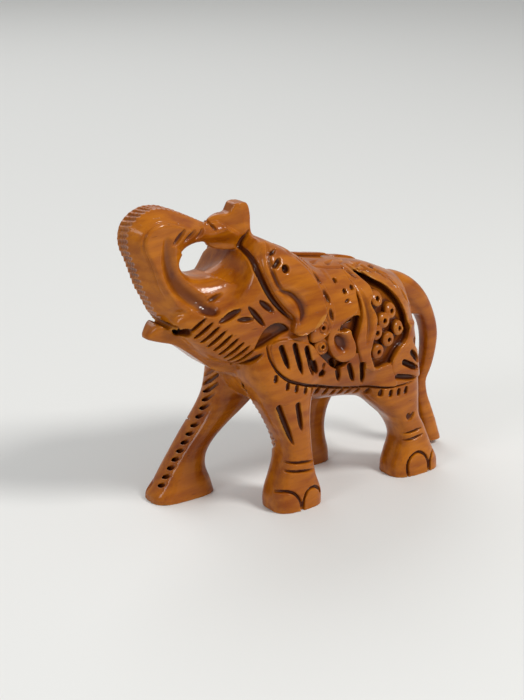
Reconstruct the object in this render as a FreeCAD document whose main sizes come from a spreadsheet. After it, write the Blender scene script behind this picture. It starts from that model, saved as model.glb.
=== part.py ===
import FreeCAD, Part

import math
import os

import Sketcher

# A carved wooden elephant that strides with its trunk curled back on its forehead.
#
# Frame: X runs from the trunk (minus) to the tail (plus), the figure's left side faces -Y, Z is up,
# and the soles stand on Z = 0. All sizes are millimetres.
# "Belly" is the height of the belly line above the soles: everything above the legs is measured
# from it. "Neck" is the plane where the head meets the barrel: the head is measured forwards from
# it and the barrel backwards, so a longer barrel carries the haunches, cloth and tail with it.

DOC = FreeCAD.newDocument("CarvedElephant")
SHEET = DOC.addObject("Spreadsheet::Sheet", "Sizes")
SIDES = (("left", -1), ("right", 1))
NODES = []
COMB_SLOTS = 9
# Where members start along X and Z, and how far a trim prism reaches past the flank.
NECK = "Sizes.neck_at"
BELLY = "Sizes.belly"
FROM_NECK = "Sizes.neck_at + {}"
ALONG_BARREL = "Sizes.neck_at + Sizes.barrel_length * {}"
SOLES = "0"
RUMP = "Sizes.neck_at + Sizes.barrel_length"
FLANK = "Sizes.barrel_width / 2"
FLANK_REACH = "Sizes.barrel_width"

# Driving sizes: name, value, meaning.
DRIVING_SIZES = (
    ("neck_at", -4.75, "place of the neck plane along X"),
    ("belly", 21.0, "height of the belly line"),
    ("barrel_length", 37.0, "neck plane to the end of the rump"),
    ("barrel_width", 28.0, "widest part of the barrel"),
    ("cloth_thickness", 1.5, "saddle cloth on the barrel"),
    ("trim_thickness", 1.5, "flaps, rings and borders on the cloth"),
    ("hem_thickness", 0.75, "hem border beyond the cloth"),
    ("hem_depth", 3.0, "hem border into the widest part of the barrel"),
    ("ear_thickness", 2.4, "ear beyond the side of the head"),
    ("ear_depth", 1.2, "ear and neck band into the side of the head"),
    ("ear_over_flank", 0.9, "ear beyond the barrel's flank, where the barrel is wide"),
    ("neck_band_thickness", 1.8, "neck band beyond the side of the head"),
    ("neck_band_over_flank", 0.3, "neck band beyond the barrel's flank, where the barrel is wide"),
    ("ring_radius", 1.5, "outer radius of a carved ring"),
    ("ring_bore", 0.55, "radius of the eye of a carved ring"),
    ("comb_thickness", 0.8, "cheek comb on the side of the head"),
    ("comb_slot_length", 4.8, "slot of the cheek comb"),
    ("comb_slot_width", 0.8, "slot of the cheek comb"),
    ("comb_pitch", 1.75, "spacing of the cheek comb's slots"),
    ("comb_slant", 33.0, "rise of a slot in degrees"),
    ("comb_fall", 39.5, "fall of the row of slots in degrees"),
    ("comb_place", -27.9, "foremost slot from the neck plane"),
    ("comb_level", 26.6, "foremost slot above the belly"),
    ("nail_thickness", 0.6, "toenail beyond the foot"),
    ("nail_rise", 0.333, "height of a toenail's middle as a share of its radius"),
    ("ground_block", 120.0, "side of the block that trims the toenails level with the soles"),
    ("roundness", 0.44, "corner radius of a section as a share of its smaller side"),
)


def write_sizes(rows):
    """Puts rows of name, value and meaning below the last used row of the sheet."""
    start = write_sizes.next_row
    for row, (alias, value, meaning) in enumerate(rows, start):
        SHEET.set(f"A{row}", alias)
        SHEET.set(f"B{row}", str(value))
        SHEET.set(f"C{row}", meaning)
        SHEET.setAlias(f"B{row}", alias)
    write_sizes.next_row = start + len(rows)
    DOC.recompute()


write_sizes.next_row = 1


def stations(member, columns, rows):
    """Writes a member's section sizes to the sheet as member_station_column."""
    table = []
    for station, *values in rows:
        for column, value in zip(columns, values):
            table.append((f"{member}_{station}_{column}", value, f"{member}, {station} section"))
    write_sizes(table)
    return [row[0] for row in rows]


def node(shape_object, name):
    """Names a finished sub-part and lists it for writing."""
    shape_object.Label = name
    NODES.append(shape_object)
    return shape_object


def new_body(name):
    """A PartDesign body."""
    return DOC.addObject("PartDesign::Body", name)


def origin_plane(body, role):
    """The body's own origin plane of that role."""
    return next(plane for plane in body.Origin.OriginFeatures if plane.Role == role)


def new_sketch(body, name, role):
    """A sketch on one of the body's origin planes."""
    sketch = body.newObject("Sketcher::SketchObject", name)
    sketch.AttachmentSupport = [(origin_plane(body, role), "")]
    sketch.MapMode = "FlatFace"
    return sketch


def rounded_section(body, name, role, width, height, corner):
    """A rounded rectangle about the sketch origin; width, height and corner are expressions."""
    sketch = new_sketch(body, name, role)
    bend = float(sketch.evalExpression(corner))
    across = float(sketch.evalExpression(width)) / 2 - bend
    up = float(sketch.evalExpression(height)) / 2 - bend
    corners = ((across, -up), (across, up), (-across, up), (-across, -up))
    arcs = []
    sides = []
    for turn, (x, y) in enumerate(corners):
        circle = Part.Circle(FreeCAD.Vector(x, y, 0), FreeCAD.Vector(0, 0, 1), bend)
        arc = Part.ArcOfCircle(circle, (turn - 1) * math.pi / 2, turn * math.pi / 2)
        arcs.append(sketch.addGeometry(arc, False))
    for turn in range(4):
        start = sketch.Geometry[arcs[turn]].EndPoint
        end = sketch.Geometry[arcs[(turn + 1) % 4]].StartPoint
        sides.append(sketch.addGeometry(Part.LineSegment(start, end), False))
    constraint = Sketcher.Constraint
    for turn in range(4):
        straight = "Vertical" if turn % 2 == 0 else "Horizontal"
        sketch.addConstraint(constraint("Tangent", arcs[turn], 2, sides[turn], 1))
        sketch.addConstraint(constraint("Tangent", sides[turn], 2, arcs[(turn + 1) % 4], 1))
        sketch.addConstraint(constraint(straight, sides[turn]))
    for turn in range(3):
        sketch.addConstraint(constraint("Equal", arcs[turn], arcs[turn + 1]))
    sketch.addConstraint(constraint("Symmetric", arcs[0], 3, arcs[2], 3, -1, 1))
    wide = sketch.addConstraint(constraint("DistanceX", arcs[3], 3, arcs[0], 3, 2 * across))
    tall = sketch.addConstraint(constraint("DistanceY", arcs[0], 3, arcs[1], 3, 2 * up))
    round_off = sketch.addConstraint(constraint("Radius", arcs[0], bend))
    sketch.setExpression(f"Constraints[{wide}]", f"({width}) - 2 * ({corner})")
    sketch.setExpression(f"Constraints[{tall}]", f"({height}) - 2 * ({corner})")
    sketch.setExpression(f"Constraints[{round_off}]", corner)
    return sketch


def loft(name, role, sections):
    """A body lofted through rounded sections.

    Each section gives expressions for its place on the plane's own axes (across, up, along), its
    width and height, and the angle that it is turned about the plane's first axis.
    """
    body = new_body(name)
    sketches = []
    for number, (across, up, along, width, height, turn) in enumerate(sections, 1):
        corner = f"min({width}; {height}) * Sizes.roundness"
        sketch = rounded_section(body, f"{name}_section_{number}", role, width, height, corner)
        tilt_axis = FreeCAD.Vector(1, 0, 0)
        sketch.AttachmentOffset = FreeCAD.Placement(
            FreeCAD.Vector(), FreeCAD.Rotation(tilt_axis, 1)
        )
        sketch.setExpression("AttachmentOffset.Base.x", across)
        sketch.setExpression("AttachmentOffset.Base.y", up)
        sketch.setExpression("AttachmentOffset.Base.z", along)
        sketch.setExpression("AttachmentOffset.Rotation.Angle", turn)
        sketches.append(sketch)
    DOC.recompute()
    feature = body.newObject("PartDesign::AdditiveLoft", f"{name}_loft")
    feature.Profile = sketches[0]
    feature.Sections = sketches[1:]
    feature.Ruled = False
    feature.Closed = False
    body.Tip = feature
    DOC.recompute()
    return body


def prism(name, corners, side, inner, outer):
    """A body padded sideways from a polygon of (x, z) expressions, between two distances from Y = 0."""
    body = new_body(name)
    sketch = new_sketch(body, f"{name}_outline", "XZ_Plane")
    values = []
    for x_place, z_place in corners:
        x_value = float(sketch.evalExpression(x_place))
        z_value = float(sketch.evalExpression(z_place))
        values.append(FreeCAD.Vector(x_value, z_value, 0))
    count = len(corners)
    lines = []
    for index in range(count):
        segment = Part.LineSegment(values[index], values[(index + 1) % count])
        lines.append(sketch.addGeometry(segment, False))
    constraint = Sketcher.Constraint
    for index, (x_place, z_place) in enumerate(corners):
        sketch.addConstraint(constraint("Coincident", lines[index - 1], 2, lines[index], 1))
        point = values[index]
        in_x = sketch.addConstraint(constraint("DistanceX", -1, 1, lines[index], 1, point.x))
        in_z = sketch.addConstraint(constraint("DistanceY", -1, 1, lines[index], 1, point.y))
        sketch.setExpression(f"Constraints[{in_x}]", x_place)
        sketch.setExpression(f"Constraints[{in_z}]", z_place)
    # The plane's normal points to the figure's left.
    sign = "" if side < 0 else "-"
    sketch.setExpression("AttachmentOffset.Base.z", f"{sign}({inner})")
    feature = body.newObject("PartDesign::Pad", f"{name}_pad")
    feature.Profile = sketch
    feature.Reversed = side > 0
    feature.setExpression("Length", f"({outer}) - ({inner})")
    body.Tip = feature
    DOC.recompute()
    return body


def cut(name, base, *tools):
    """The base with every tool taken away, one after the other."""
    for number, tool in enumerate(tools, 1):
        cutting = DOC.addObject("Part::Cut", f"{name}_cut_{number}")
        cutting.Base = base
        cutting.Tool = tool
        base = cutting
    DOC.recompute()
    return base


def common(name, first, second):
    """What two shapes share."""
    sharing = DOC.addObject("Part::Common", f"{name}_common")
    sharing.Base = first
    sharing.Tool = second
    DOC.recompute()
    return sharing


def group(name, members):
    """Separate solids held together as one sub-part."""
    joined = DOC.addObject("Part::Compound", f"{name}_group")
    joined.Links = members
    DOC.recompute()
    return joined


def behind_neck(station):
    """Place along X of a barrel station."""
    return f"Sizes.neck_at + Sizes.barrel_length * Sizes.barrel_{station}_share"


def barrel_sections(extra):
    """The barrel's sections, grown by the expression extra on every side."""
    rows = []
    for station in BARREL:
        low = f"Sizes.belly + Sizes.barrel_{station}_low - ({extra})"
        high = f"Sizes.belly + Sizes.barrel_{station}_high + ({extra})"
        width = f"Sizes.barrel_width - Sizes.barrel_{station}_narrower + 2 * ({extra})"
        rows.append(
            ("0", f"({low} + {high}) / 2", behind_neck(station), width, f"{high} - ({low})", "0")
        )
    return rows


def head_sections(member, station_names, extra="0"):
    """Sections of a member that runs forwards from the neck plane."""
    rows = []
    for station in station_names:
        low = f"Sizes.belly + Sizes.{member}_{station}_low - ({extra})"
        high = f"Sizes.belly + Sizes.{member}_{station}_high + ({extra})"
        width = f"Sizes.{member}_{station}_width + 2 * ({extra})"
        place = f"Sizes.neck_at - Sizes.{member}_{station}_ahead"
        rows.append(("0", f"({low} + {high}) / 2", place, width, f"{high} - ({low})", "0"))
    return rows


def curved_sections(member, station_names, start, ground):
    """Sections square to a path in the middle plane: place from start, level, turn, size."""
    rows = []
    for station in station_names:
        cell = f"Sizes.{member}_{station}"
        rows.append(
            ("0", f"{ground} + {cell}_level", f"{start} + {cell}_place", f"{cell}_wide",
             f"{cell}_thick", f"{cell}_turn")
        )
    return rows


def leg_sections(member, side):
    """Sections of a leg from the sole up; the two top ones are measured from the belly line."""
    rows = []
    start = LEG_START[member.split("_")[0]]
    for station in LEG_STATIONS:
        cell = f"Sizes.{member}_{station}"
        level = f"{cell}_level"
        if station in ("thigh", "hip"):
            level = f"Sizes.belly + {level}"
        middle = f"{start} + ({cell}_front + {cell}_back) / 2"
        outer = f"{FLANK} + {cell}_outer"
        across = f"{side} * ({cell}_inner + {outer}) / 2"
        rows.append(
            (middle, across, level, f"{cell}_back - {cell}_front", f"{outer} - {cell}_inner", "0")
        )
    return rows


write_sizes(DRIVING_SIZES)

# The barrel, from the neck to the rump: share of its length, low and high line above the belly,
# and how much narrower it is than its widest part.
BARREL = stations(
    "barrel",
    ("share", "low", "high", "narrower"),
    (
        ("neck", 0.0, 3.0, 36.0, 4.0),
        ("shoulder", 0.27, 0.5, 35.0, 0.5),
        ("middle", 0.54, -0.5, 33.3, 0.0),
        ("flank", 0.8, 0.0, 29.5, 2.5),
        ("rump", 1.0, 4.0, 21.5, 10.0),
    ),
)

# The head, forwards from the neck plane.
HEAD = stations(
    "head",
    ("ahead", "low", "high", "width"),
    (
        ("nape", 0.0, 17.0, 40.0, 24.0),
        ("crown", 8.0, 16.5, 44.0, 25.0),
        ("brow", 16.0, 16.5, 41.0, 24.0),
        ("cheek", 24.0, 20.0, 36.6, 19.0),
        ("muzzle", 30.0, 26.0, 35.5, 14.0),
    ),
)

# The pointed lower lip under the open mouth.
LIP = stations(
    "lip",
    ("ahead", "low", "high", "width"),
    (
        ("throat", 15.0, 14.4, 21.0, 9.0),
        ("chin", 24.0, 17.6, 26.0, 9.0),
        ("edge", 31.5, 22.2, 26.4, 6.0),
        ("point", 35.3, 23.5, 25.1, 2.2),
    ),
)

# The chest wall under the head, between the forelegs.
CHEST = stations(
    "chest",
    ("ahead", "low", "high", "width"),
    (
        ("back", 0.0, 1.5, 18.0, 20.0),
        ("middle", 6.0, 2.5, 18.0, 18.0),
        ("front", 12.5, 6.0, 17.5, 12.0),
    ),
)

# The trunk: place from the neck plane, level of its middle above the belly, turn of the section,
# and its size. It leaves the face, rises, and rolls back over the forehead.
TRUNK = stations(
    "trunk",
    ("place", "level", "turn", "thick", "wide"),
    (
        ("face", -27.5, 30.6, 215.0, 11.0, 12.0),
        ("bend", -31.9, 39.2, 262.0, 11.2, 11.5),
        ("knuckle", -33.8, 47.9, 308.0, 17.4, 11.0),
        ("over", -25.2, 48.7, 336.0, 9.8, 10.0),
        ("end", -18.1, 45.8, 355.0, 5.6, 8.0),
    ),
)
TIP = stations(
    "tip",
    ("place", "level", "turn", "thick", "wide"),
    (
        ("palm", -13.4, 46.2, 355.0, 8.2, 9.0),
        ("finger", -8.8, 47.3, 0.0, 9.0, 7.0),
    ),
)

# The tail: place behind the end of the rump, level above the belly, turn and size. Its brush is
# measured from the soles instead, so it always ends just above the ground.
TAIL = stations(
    "tail",
    ("place", "level", "turn", "thick", "wide"),
    (
        ("root", -4.7, 25.0, 20.0, 5.5, 5.0),
        ("arch", 4.3, 20.3, 50.0, 5.0, 4.6),
        ("bow", 9.8, 12.0, 84.0, 4.4, 4.2),
        ("fall", 9.3, 4.0, 98.0, 4.2, 4.0),
        ("waist", 7.2, -3.5, 90.0, 3.2, 3.2),
    ),
)
TUFT = stations(
    "tuft",
    ("place", "level", "turn", "thick", "wide"),
    (
        ("brush", 8.9, 9.0, 72.0, 4.6, 4.6),
        ("fringe", 10.7, 1.5, 78.0, 5.0, 5.0),
    ),
)

# The legs: level, front and back edge from the neck plane or the end of the rump, inner face from the
# middle plane and outer face from the barrel's flank. The right foreleg reaches forwards in a stride.
LEG_STATIONS = ("sole", "ankle", "shin", "thigh", "hip")
LEG_COLUMNS = ("level", "front", "back", "inner", "outer")
LEG_START = {"foreleg": NECK, "hindleg": RUMP}
stations(
    "foreleg_left",
    LEG_COLUMNS,
    (
        ("sole", 0.0, -10.3, 5.2, 4.0, 1.4),
        ("ankle", 6.5, -9.6, 4.6, 4.4, 0.8),
        ("shin", 14.0, -8.6, 3.7, 4.4, 0.6),
        ("thigh", 3.0, -10.8, 3.0, 4.0, 1.0),
        ("hip", 16.0, -14.5, 4.0, 4.0, 0.4),
    ),
)
stations(
    "foreleg_right",
    LEG_COLUMNS,
    (
        ("sole", 0.0, -30.2, -12.0, 5.0, 1.6),
        ("ankle", 6.5, -26.2, -13.2, 5.2, 1.0),
        ("shin", 13.0, -22.0, -9.5, 5.0, 0.8),
        ("thigh", 1.0, -16.5, -1.5, 4.0, 1.0),
        ("hip", 16.0, -13.0, 4.0, 4.0, 0.4),
    ),
)
stations(
    "hindleg_left",
    LEG_COLUMNS,
    (
        ("sole", 0.0, -13.3, 4.4, 4.0, 1.6),
        ("ankle", 6.0, -11.4, 2.3, 4.4, 0.8),
        ("shin", 12.5, -11.0, 0.0, 4.2, 0.4),
        ("thigh", 0.0, -16.0, -0.8, 3.6, 1.0),
        ("hip", 9.0, -19.0, -1.0, 3.6, 0.0),
    ),
)
stations(
    "hindleg_right",
    LEG_COLUMNS,
    (
        ("sole", 0.0, -23.5, -7.5, 4.0, 1.6),
        ("ankle", 6.0, -21.8, -8.5, 4.4, 0.8),
        ("shin", 12.5, -20.0, -7.0, 4.2, 0.4),
        ("thigh", 0.0, -19.0, -2.5, 3.6, 1.0),
        ("hip", 9.0, -19.0, -1.0, 3.6, 0.0),
    ),
)

barrel = node(loft("barrel", "YZ_Plane", barrel_sections("0")), "barrel")
head = node(loft("head", "YZ_Plane", head_sections("head", HEAD)[::-1]), "head")
chest_block = loft("chest_block", "YZ_Plane", head_sections("chest", CHEST)[::-1])
chest = node(cut("chest", chest_block, head, barrel), "chest")

trunk_rows = curved_sections("trunk", TRUNK, NECK, BELLY)
trunk_root = node(cut("trunk_root", loft("trunk_base", "YZ_Plane", trunk_rows[:3]), head), "trunk_root")
trunk_curl = node(loft("trunk_curl", "YZ_Plane", trunk_rows[2:]), "trunk_curl")
tip_rows = trunk_rows[-1:] + curved_sections("tip", TIP, NECK, BELLY)
trunk_tip = node(cut("trunk_tip", loft("tip_base", "YZ_Plane", tip_rows), head), "trunk_tip")
lip_base = loft("lip_base", "YZ_Plane", head_sections("lip", LIP)[::-1])
lower_lip = node(cut("lower_lip", lip_base, head, trunk_root, chest), "lower_lip")

tail_rows = curved_sections("tail", TAIL, RUMP, BELLY)
tail = node(cut("tail", loft("tail_base", "YZ_Plane", tail_rows), barrel), "tail")
tuft_rows = tail_rows[-1:] + curved_sections("tuft", TUFT, RUMP, SOLES)
tail_tuft = node(loft("tail_tuft", "YZ_Plane", tuft_rows), "tail_tuft")


# Carved cloth and trim. Outlines are polygons of (x, z) with z from the belly line. What lies on the
# head has x from the neck plane; what lies on the barrel has x as a share of the barrel's length.


def outline(member, along, corners):
    """Writes an outline's corners to the sheet and returns their expressions.

    along turns a corner's x cell into its place along X.
    """
    table = []
    for number, (x_place, z_place) in enumerate(corners, 1):
        table.append((f"{member}_corner{number}_x", x_place, f"{member}, corner {number}"))
        table.append((f"{member}_corner{number}_z", z_place, f"{member}, corner {number}"))
    write_sizes(table)
    expressions = []
    for number in range(1, len(corners) + 1):
        x_place = along.format(f"Sizes.{member}_corner{number}_x")
        z_place = f"Sizes.belly + Sizes.{member}_corner{number}_z"
        expressions.append((x_place, z_place))
    return expressions


EAR = outline(
    "ear",
    FROM_NECK,
    (
        (-12.5, 46.0),
        (-7.0, 43.4),
        (-1.8, 38.6),
        (1.6, 33.6),
        (3.6, 29.4),
        (3.2, 26.0),
        (0.8, 23.4),
        (-2.6, 22.6),
        (-5.4, 24.0),
        (-7.0, 27.8),
        (-9.6, 31.0),
        (-12.4, 34.5),
        (-13.8, 38.5),
        (-13.9, 42.5),
    ),
)
NECK_BAND = outline(
    "neck_band",
    FROM_NECK,
    (
        (-1.4, 41.0),
        (2.5, 38.0),
        (5.5, 33.8),
        (7.0, 29.3),
        (6.9, 25.6),
    ),
)
DRAPE = outline(
    "drape",
    ALONG_BARREL,
    (
        (0.041, 35.5),
        (0.432, 36.0),
        (0.351, 30.5),
        (0.384, 28.5),
        (0.341, 25.2),
        (0.238, 23.4),
        (0.189, 21.4),
        (0.238, 19.0),
        (0.276, 17.4),
        (0.281, 13.6),
        (0.189, 12.0),
        (0.108, 14.0),
        (0.089, 18.0),
        (0.092, 22.0),
        (0.089, 26.0),
        (0.073, 31.0),
    ),
)
LEAF_FLAP = outline(
    "leaf_flap",
    ALONG_BARREL,
    (
        (0.411, 34.2),
        (0.486, 31.0),
        (0.484, 28.0),
        (0.459, 26.6),
        (0.492, 23.0),
        (0.470, 19.4),
        (0.435, 15.0),
        (0.459, 11.4),
        (0.384, 13.0),
        (0.357, 17.2),
        (0.335, 20.6),
        (0.373, 23.4),
        (0.416, 26.8),
    ),
)
HEM = outline(
    "hem",
    ALONG_BARREL,
    (
        (-0.257, 16.0),
        (-0.173, 12.3),
        (-0.054, 10.2),
        (0.095, 8.2),
        (0.251, 6.4),
        (0.492, 4.7),
        (0.800, 3.6),
        (0.800, 11.0),
        (0.492, 12.0),
        (0.251, 13.4),
        (0.095, 15.2),
        (0.005, 17.2),
        (-0.135, 19.0),
        (-0.230, 20.0),
    ),
)
RUMP_BORDER = outline(
    "rump_border",
    ALONG_BARREL,
    (
        (0.800, 11.0),
        (0.914, 5.0),
        (0.935, 13.0),
        (0.924, 19.0),
        (0.849, 25.0),
        (0.784, 28.5),
        (0.746, 27.0),
        (0.822, 21.0),
        (0.838, 16.0),
    ),
)
# Middles of the ring beads.
RINGS = outline(
    "ring",
    ALONG_BARREL,
    (
        (0.530, 26.6),
        (0.630, 23.2),
        (0.559, 21.4),
        (0.689, 18.6),
        (0.486, 19.2),
        (0.595, 16.6),
        (0.492, 14.2),
    ),
)
BEADS = outline("bead", ALONG_BARREL, ((0.0446, 22.6), (0.0446, 18.4)))
CLOTH_SPREAD = outline(
    "cloth",
    ALONG_BARREL,
    (
        (0.027, 17.0),
        (0.095, 15.2),
        (0.251, 13.4),
        (0.492, 12.0),
        (0.800, 11.0),
        (0.827, 16.0),
        (0.838, 22.0),
        (0.784, 40.0),
        (0.027, 42.0),
    ),
)
CHEEK = outline(
    "cheek",
    FROM_NECK,
    (
        (-29.6, 26.2),
        (-24.4, 30.6),
        (-10.6, 19.2),
        (-16.6, 15.6),
    ),
)
# The toenails: place of the middle as a share of the sole's length, and radius.
NAILS = stations("nail", ("share", "radius"), (("front", 0.27, 3.2), ("rear", 0.74, 2.5)))

CLOTH = "Sizes.cloth_thickness"
TRIM = "Sizes.cloth_thickness + Sizes.trim_thickness"
cloth_form = loft("cloth_form", "YZ_Plane", barrel_sections(CLOTH))
trim_form = loft("trim_form", "YZ_Plane", barrel_sections(TRIM))
trim_shell = cut("trim_shell", trim_form, cloth_form)


def post(name, middle, side, radius):
    """A round bar across one flank."""
    bar = DOC.addObject("Part::Cylinder", name)
    bar.setExpression("Radius", radius)
    bar.setExpression("Height", "Sizes.barrel_width")
    bar.Placement.Rotation = FreeCAD.Rotation(FreeCAD.Vector(1, 0, 0), -90 * side)
    bar.setExpression("Placement.Base.x", middle[0])
    bar.setExpression("Placement.Base.z", middle[1])
    return bar


def rings(name, middles, side, *clear_of):
    """Ring beads raised on the cloth, each a solid of its own."""
    beads = []
    for number, middle in enumerate(middles, 1):
        rod = post(f"{name}_rod_{number}", middle, side, "Sizes.ring_radius")
        bore = post(f"{name}_bore_{number}", middle, side, "Sizes.ring_bore")
        tube = cut(f"{name}_tube_{number}", rod, bore, *clear_of)
        beads.append(common(f"{name}_{number}", trim_shell, tube))
    return group(name, beads)


def comb(name, corners, side):
    """A slanted plate with a row of slots cut right through it."""
    plate = prism(f"{name}_plate", corners, side, "0", FLANK_REACH)
    level_axis = FreeCAD.Vector(0, -1, 0)
    slots = []
    for number in range(COMB_SLOTS):
        slot = DOC.addObject("Part::Box", f"{name}_slot_{number}")
        slot.setExpression("Length", "Sizes.comb_slot_length")
        slot.setExpression("Height", "Sizes.comb_slot_width")
        slot.setExpression("Width", FLANK_REACH)
        slot.Placement.Rotation = FreeCAD.Rotation(level_axis, 1)
        slot.setExpression("Placement.Rotation.Angle", "Sizes.comb_slant")
        along = f"Sizes.comb_pitch * {number}"
        place = f"{NECK} + Sizes.comb_place + {along} * cos(Sizes.comb_fall)"
        level = f"{BELLY} + Sizes.comb_level - {along} * sin(Sizes.comb_fall)"
        slot.setExpression("Placement.Base.x", place)
        slot.setExpression("Placement.Base.y", "0" if side > 0 else f"-{FLANK_REACH}")
        slot.setExpression("Placement.Base.z", level)
        slots.append(slot)
    return cut(name, plate, group(f"{name}_slots", slots))


def nails(leg_name, side, leg):
    """The two toenails of one foot, each a rounded plate on its outer face."""
    start = LEG_START[leg_name.split("_")[0]]
    sole = f"Sizes.{leg_name}_sole"
    plates = []
    for nail in NAILS:
        radius = f"Sizes.nail_{nail}_radius"
        middle_x = f"{start} + {sole}_front + ({sole}_back - {sole}_front) * Sizes.nail_{nail}_share"
        level = f"{radius} * Sizes.nail_rise"
        rod = post(f"{leg_name}_{nail}_rod", (middle_x, level), side, radius)
        thickness = f"{FLANK} + {sole}_outer - {sole}_inner"
        rod.setExpression("Height", f"({thickness}) / 2 + Sizes.nail_thickness")
        rod.setExpression("Placement.Base.y", f"{side} * ({sole}_inner + ({thickness}) / 2)")
        ground = DOC.addObject("Part::Box", f"{leg_name}_{nail}_ground")
        for edge in ("Length", "Width", "Height"):
            ground.setExpression(edge, "Sizes.ground_block")
        ground.setExpression("Placement.Base.x", "-Sizes.ground_block / 2")
        ground.setExpression("Placement.Base.y", "-Sizes.ground_block / 2")
        ground.setExpression("Placement.Base.z", "-Sizes.ground_block")
        plates.append(cut(f"{leg_name}_{nail}_nail", rod, leg, ground))
    return group(f"{leg_name}_nails", plates)


cheek_form = loft("cheek_form", "YZ_Plane", head_sections("head", HEAD, "Sizes.comb_thickness")[::-1])
cheek_shell = cut("cheek_shell", cheek_form, head)
HEM_INNER = f"{FLANK} - Sizes.hem_depth"
HEM_OUTER = f"{FLANK} + Sizes.cloth_thickness + Sizes.hem_thickness"
HEAD_SIDE = "Sizes.head_crown_width / 2"
EAR_INNER = f"min({HEAD_SIDE}; {FLANK}) - Sizes.ear_depth"
EAR_OUTER = f"max({HEAD_SIDE} + Sizes.ear_thickness; {FLANK} + Sizes.ear_over_flank)"
BAND_OUTER = f"max({HEAD_SIDE} + Sizes.neck_band_thickness; {FLANK} + Sizes.neck_band_over_flank)"
ears = {}
bands = {}
for side_name, side in SIDES:
    name = f"ear_{side_name}"
    plate = prism(f"{name}_plate", EAR, side, EAR_INNER, EAR_OUTER)
    ears[side] = node(cut(name, plate, head, barrel), name)
    name = f"neck_band_{side_name}"
    plate = prism(f"{name}_plate", NECK_BAND + EAR[4:1:-1], side, EAR_INNER, BAND_OUTER)
    bands[side] = node(cut(name, plate, head, barrel), name)

over_barrel = cut("cloth", cloth_form, barrel, *ears.values(), *bands.values())
cloth_region = prism("cloth_region", CLOTH_SPREAD, -1, f"-{FLANK_REACH}", FLANK_REACH)
saddle_cloth = node(common("saddle_cloth", over_barrel, cloth_region), "saddle_cloth")

for side_name, side in SIDES:
    name = f"hindleg_{side_name}"
    column = loft(f"{name}_column", "XY_Plane", leg_sections(name, side))
    hindleg = node(cut(name, column, barrel, saddle_cloth), name)
    name = f"drape_{side_name}"
    region = prism(f"{name}_region", DRAPE, side, "0", FLANK_REACH)
    drape = node(cut(name, common(name, trim_shell, region), ears[side], bands[side]), name)
    name = f"leaf_flap_{side_name}"
    region = prism(f"{name}_region", LEAF_FLAP, side, "0", FLANK_REACH)
    leaf_flap = node(common(name, trim_shell, region), name)
    name = f"rump_border_{side_name}"
    region = prism(f"{name}_region", RUMP_BORDER, side, "0", FLANK_REACH)
    node(cut(name, common(name, trim_shell, region), hindleg), name)
    name = f"ring_beads_{side_name}"
    node(rings(name, RINGS, side, leaf_flap), name)
    name = f"neck_beads_{side_name}"
    node(rings(name, BEADS, side, ears[side], drape), name)

    name = f"foreleg_{side_name}"
    column = loft(f"{name}_column", "XY_Plane", leg_sections(name, side))
    foreleg = node(cut(name, column, barrel, chest, head, saddle_cloth), name)
    name = f"hem_border_{side_name}"
    plate = prism(f"{name}_plate", HEM, side, HEM_INNER, HEM_OUTER)
    legs = (foreleg, hindleg)
    node(cut(name, plate, barrel, chest, head, *legs, saddle_cloth, drape, leaf_flap), name)

    name = f"cheek_comb_{side_name}"
    teeth = comb(f"{name}_teeth", CHEEK, side)
    node(cut(name, common(name, cheek_shell, teeth), lower_lip), name)
    for pair, leg in (("foreleg", foreleg), ("hindleg", hindleg)):
        node(nails(f"{pair}_{side_name}", side, leg), f"{pair}_nails_{side_name}")

DOC.recompute()
for item in DOC.Objects:
    if "Invalid" in item.State or "Error" in item.State:
        raise RuntimeError(f"{item.Name} did not build: {item.State}")
for item in NODES:
    if item.Shape.isNull() or not item.Shape.isValid():
        raise RuntimeError(f"{item.Label} has no valid shape")
    if not item.Shape.Solids:
        raise RuntimeError(f"{item.Label} holds no solid")

os.makedirs("parts", exist_ok=True)
for item in NODES:
    item.Shape.exportStep(f"parts/{item.Label}.step")
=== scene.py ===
import math

import bmesh
import bpy
import numpy as np
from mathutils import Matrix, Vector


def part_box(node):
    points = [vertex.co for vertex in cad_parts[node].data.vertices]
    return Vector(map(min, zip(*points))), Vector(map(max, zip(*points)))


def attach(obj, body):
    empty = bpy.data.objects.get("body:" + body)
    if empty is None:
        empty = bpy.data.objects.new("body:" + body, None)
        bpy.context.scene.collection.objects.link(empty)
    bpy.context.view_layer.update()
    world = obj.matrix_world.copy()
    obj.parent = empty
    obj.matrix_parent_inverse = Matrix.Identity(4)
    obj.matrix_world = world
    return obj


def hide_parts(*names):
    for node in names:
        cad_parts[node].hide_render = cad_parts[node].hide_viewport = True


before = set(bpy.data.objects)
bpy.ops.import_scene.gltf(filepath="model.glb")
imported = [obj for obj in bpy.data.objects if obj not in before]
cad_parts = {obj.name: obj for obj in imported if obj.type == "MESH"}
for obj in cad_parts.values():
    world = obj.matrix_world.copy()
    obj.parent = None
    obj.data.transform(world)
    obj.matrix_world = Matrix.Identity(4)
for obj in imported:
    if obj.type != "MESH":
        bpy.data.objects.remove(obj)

import openvdb
from mathutils import Vector

bl_info = {
    "name": "Carved Wooden Elephant",
    "version": (1, 0, 0),
    "blender": (4, 5, 0),
    "location": "View3D > Sidebar > Elephant",
    "description": "Carves a striding elephant from a block of lacquered wood, member by member",
    "category": "Add Mesh",
}

# Places are millimetres. Along the figure they count from the neck plane, where the head meets the
# barrel: minus towards the trunk, plus towards the tail. Heights count from the soles, and the
# figure's left side has minus y. The neck plane is read from the frame.
MM = 0.001
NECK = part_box("barrel")[0].x / MM
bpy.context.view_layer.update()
SIDES = {"left": -1, "right": 1}
FAR = 3.0


# ---------------------------------------------------------------- curves and distances


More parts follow.
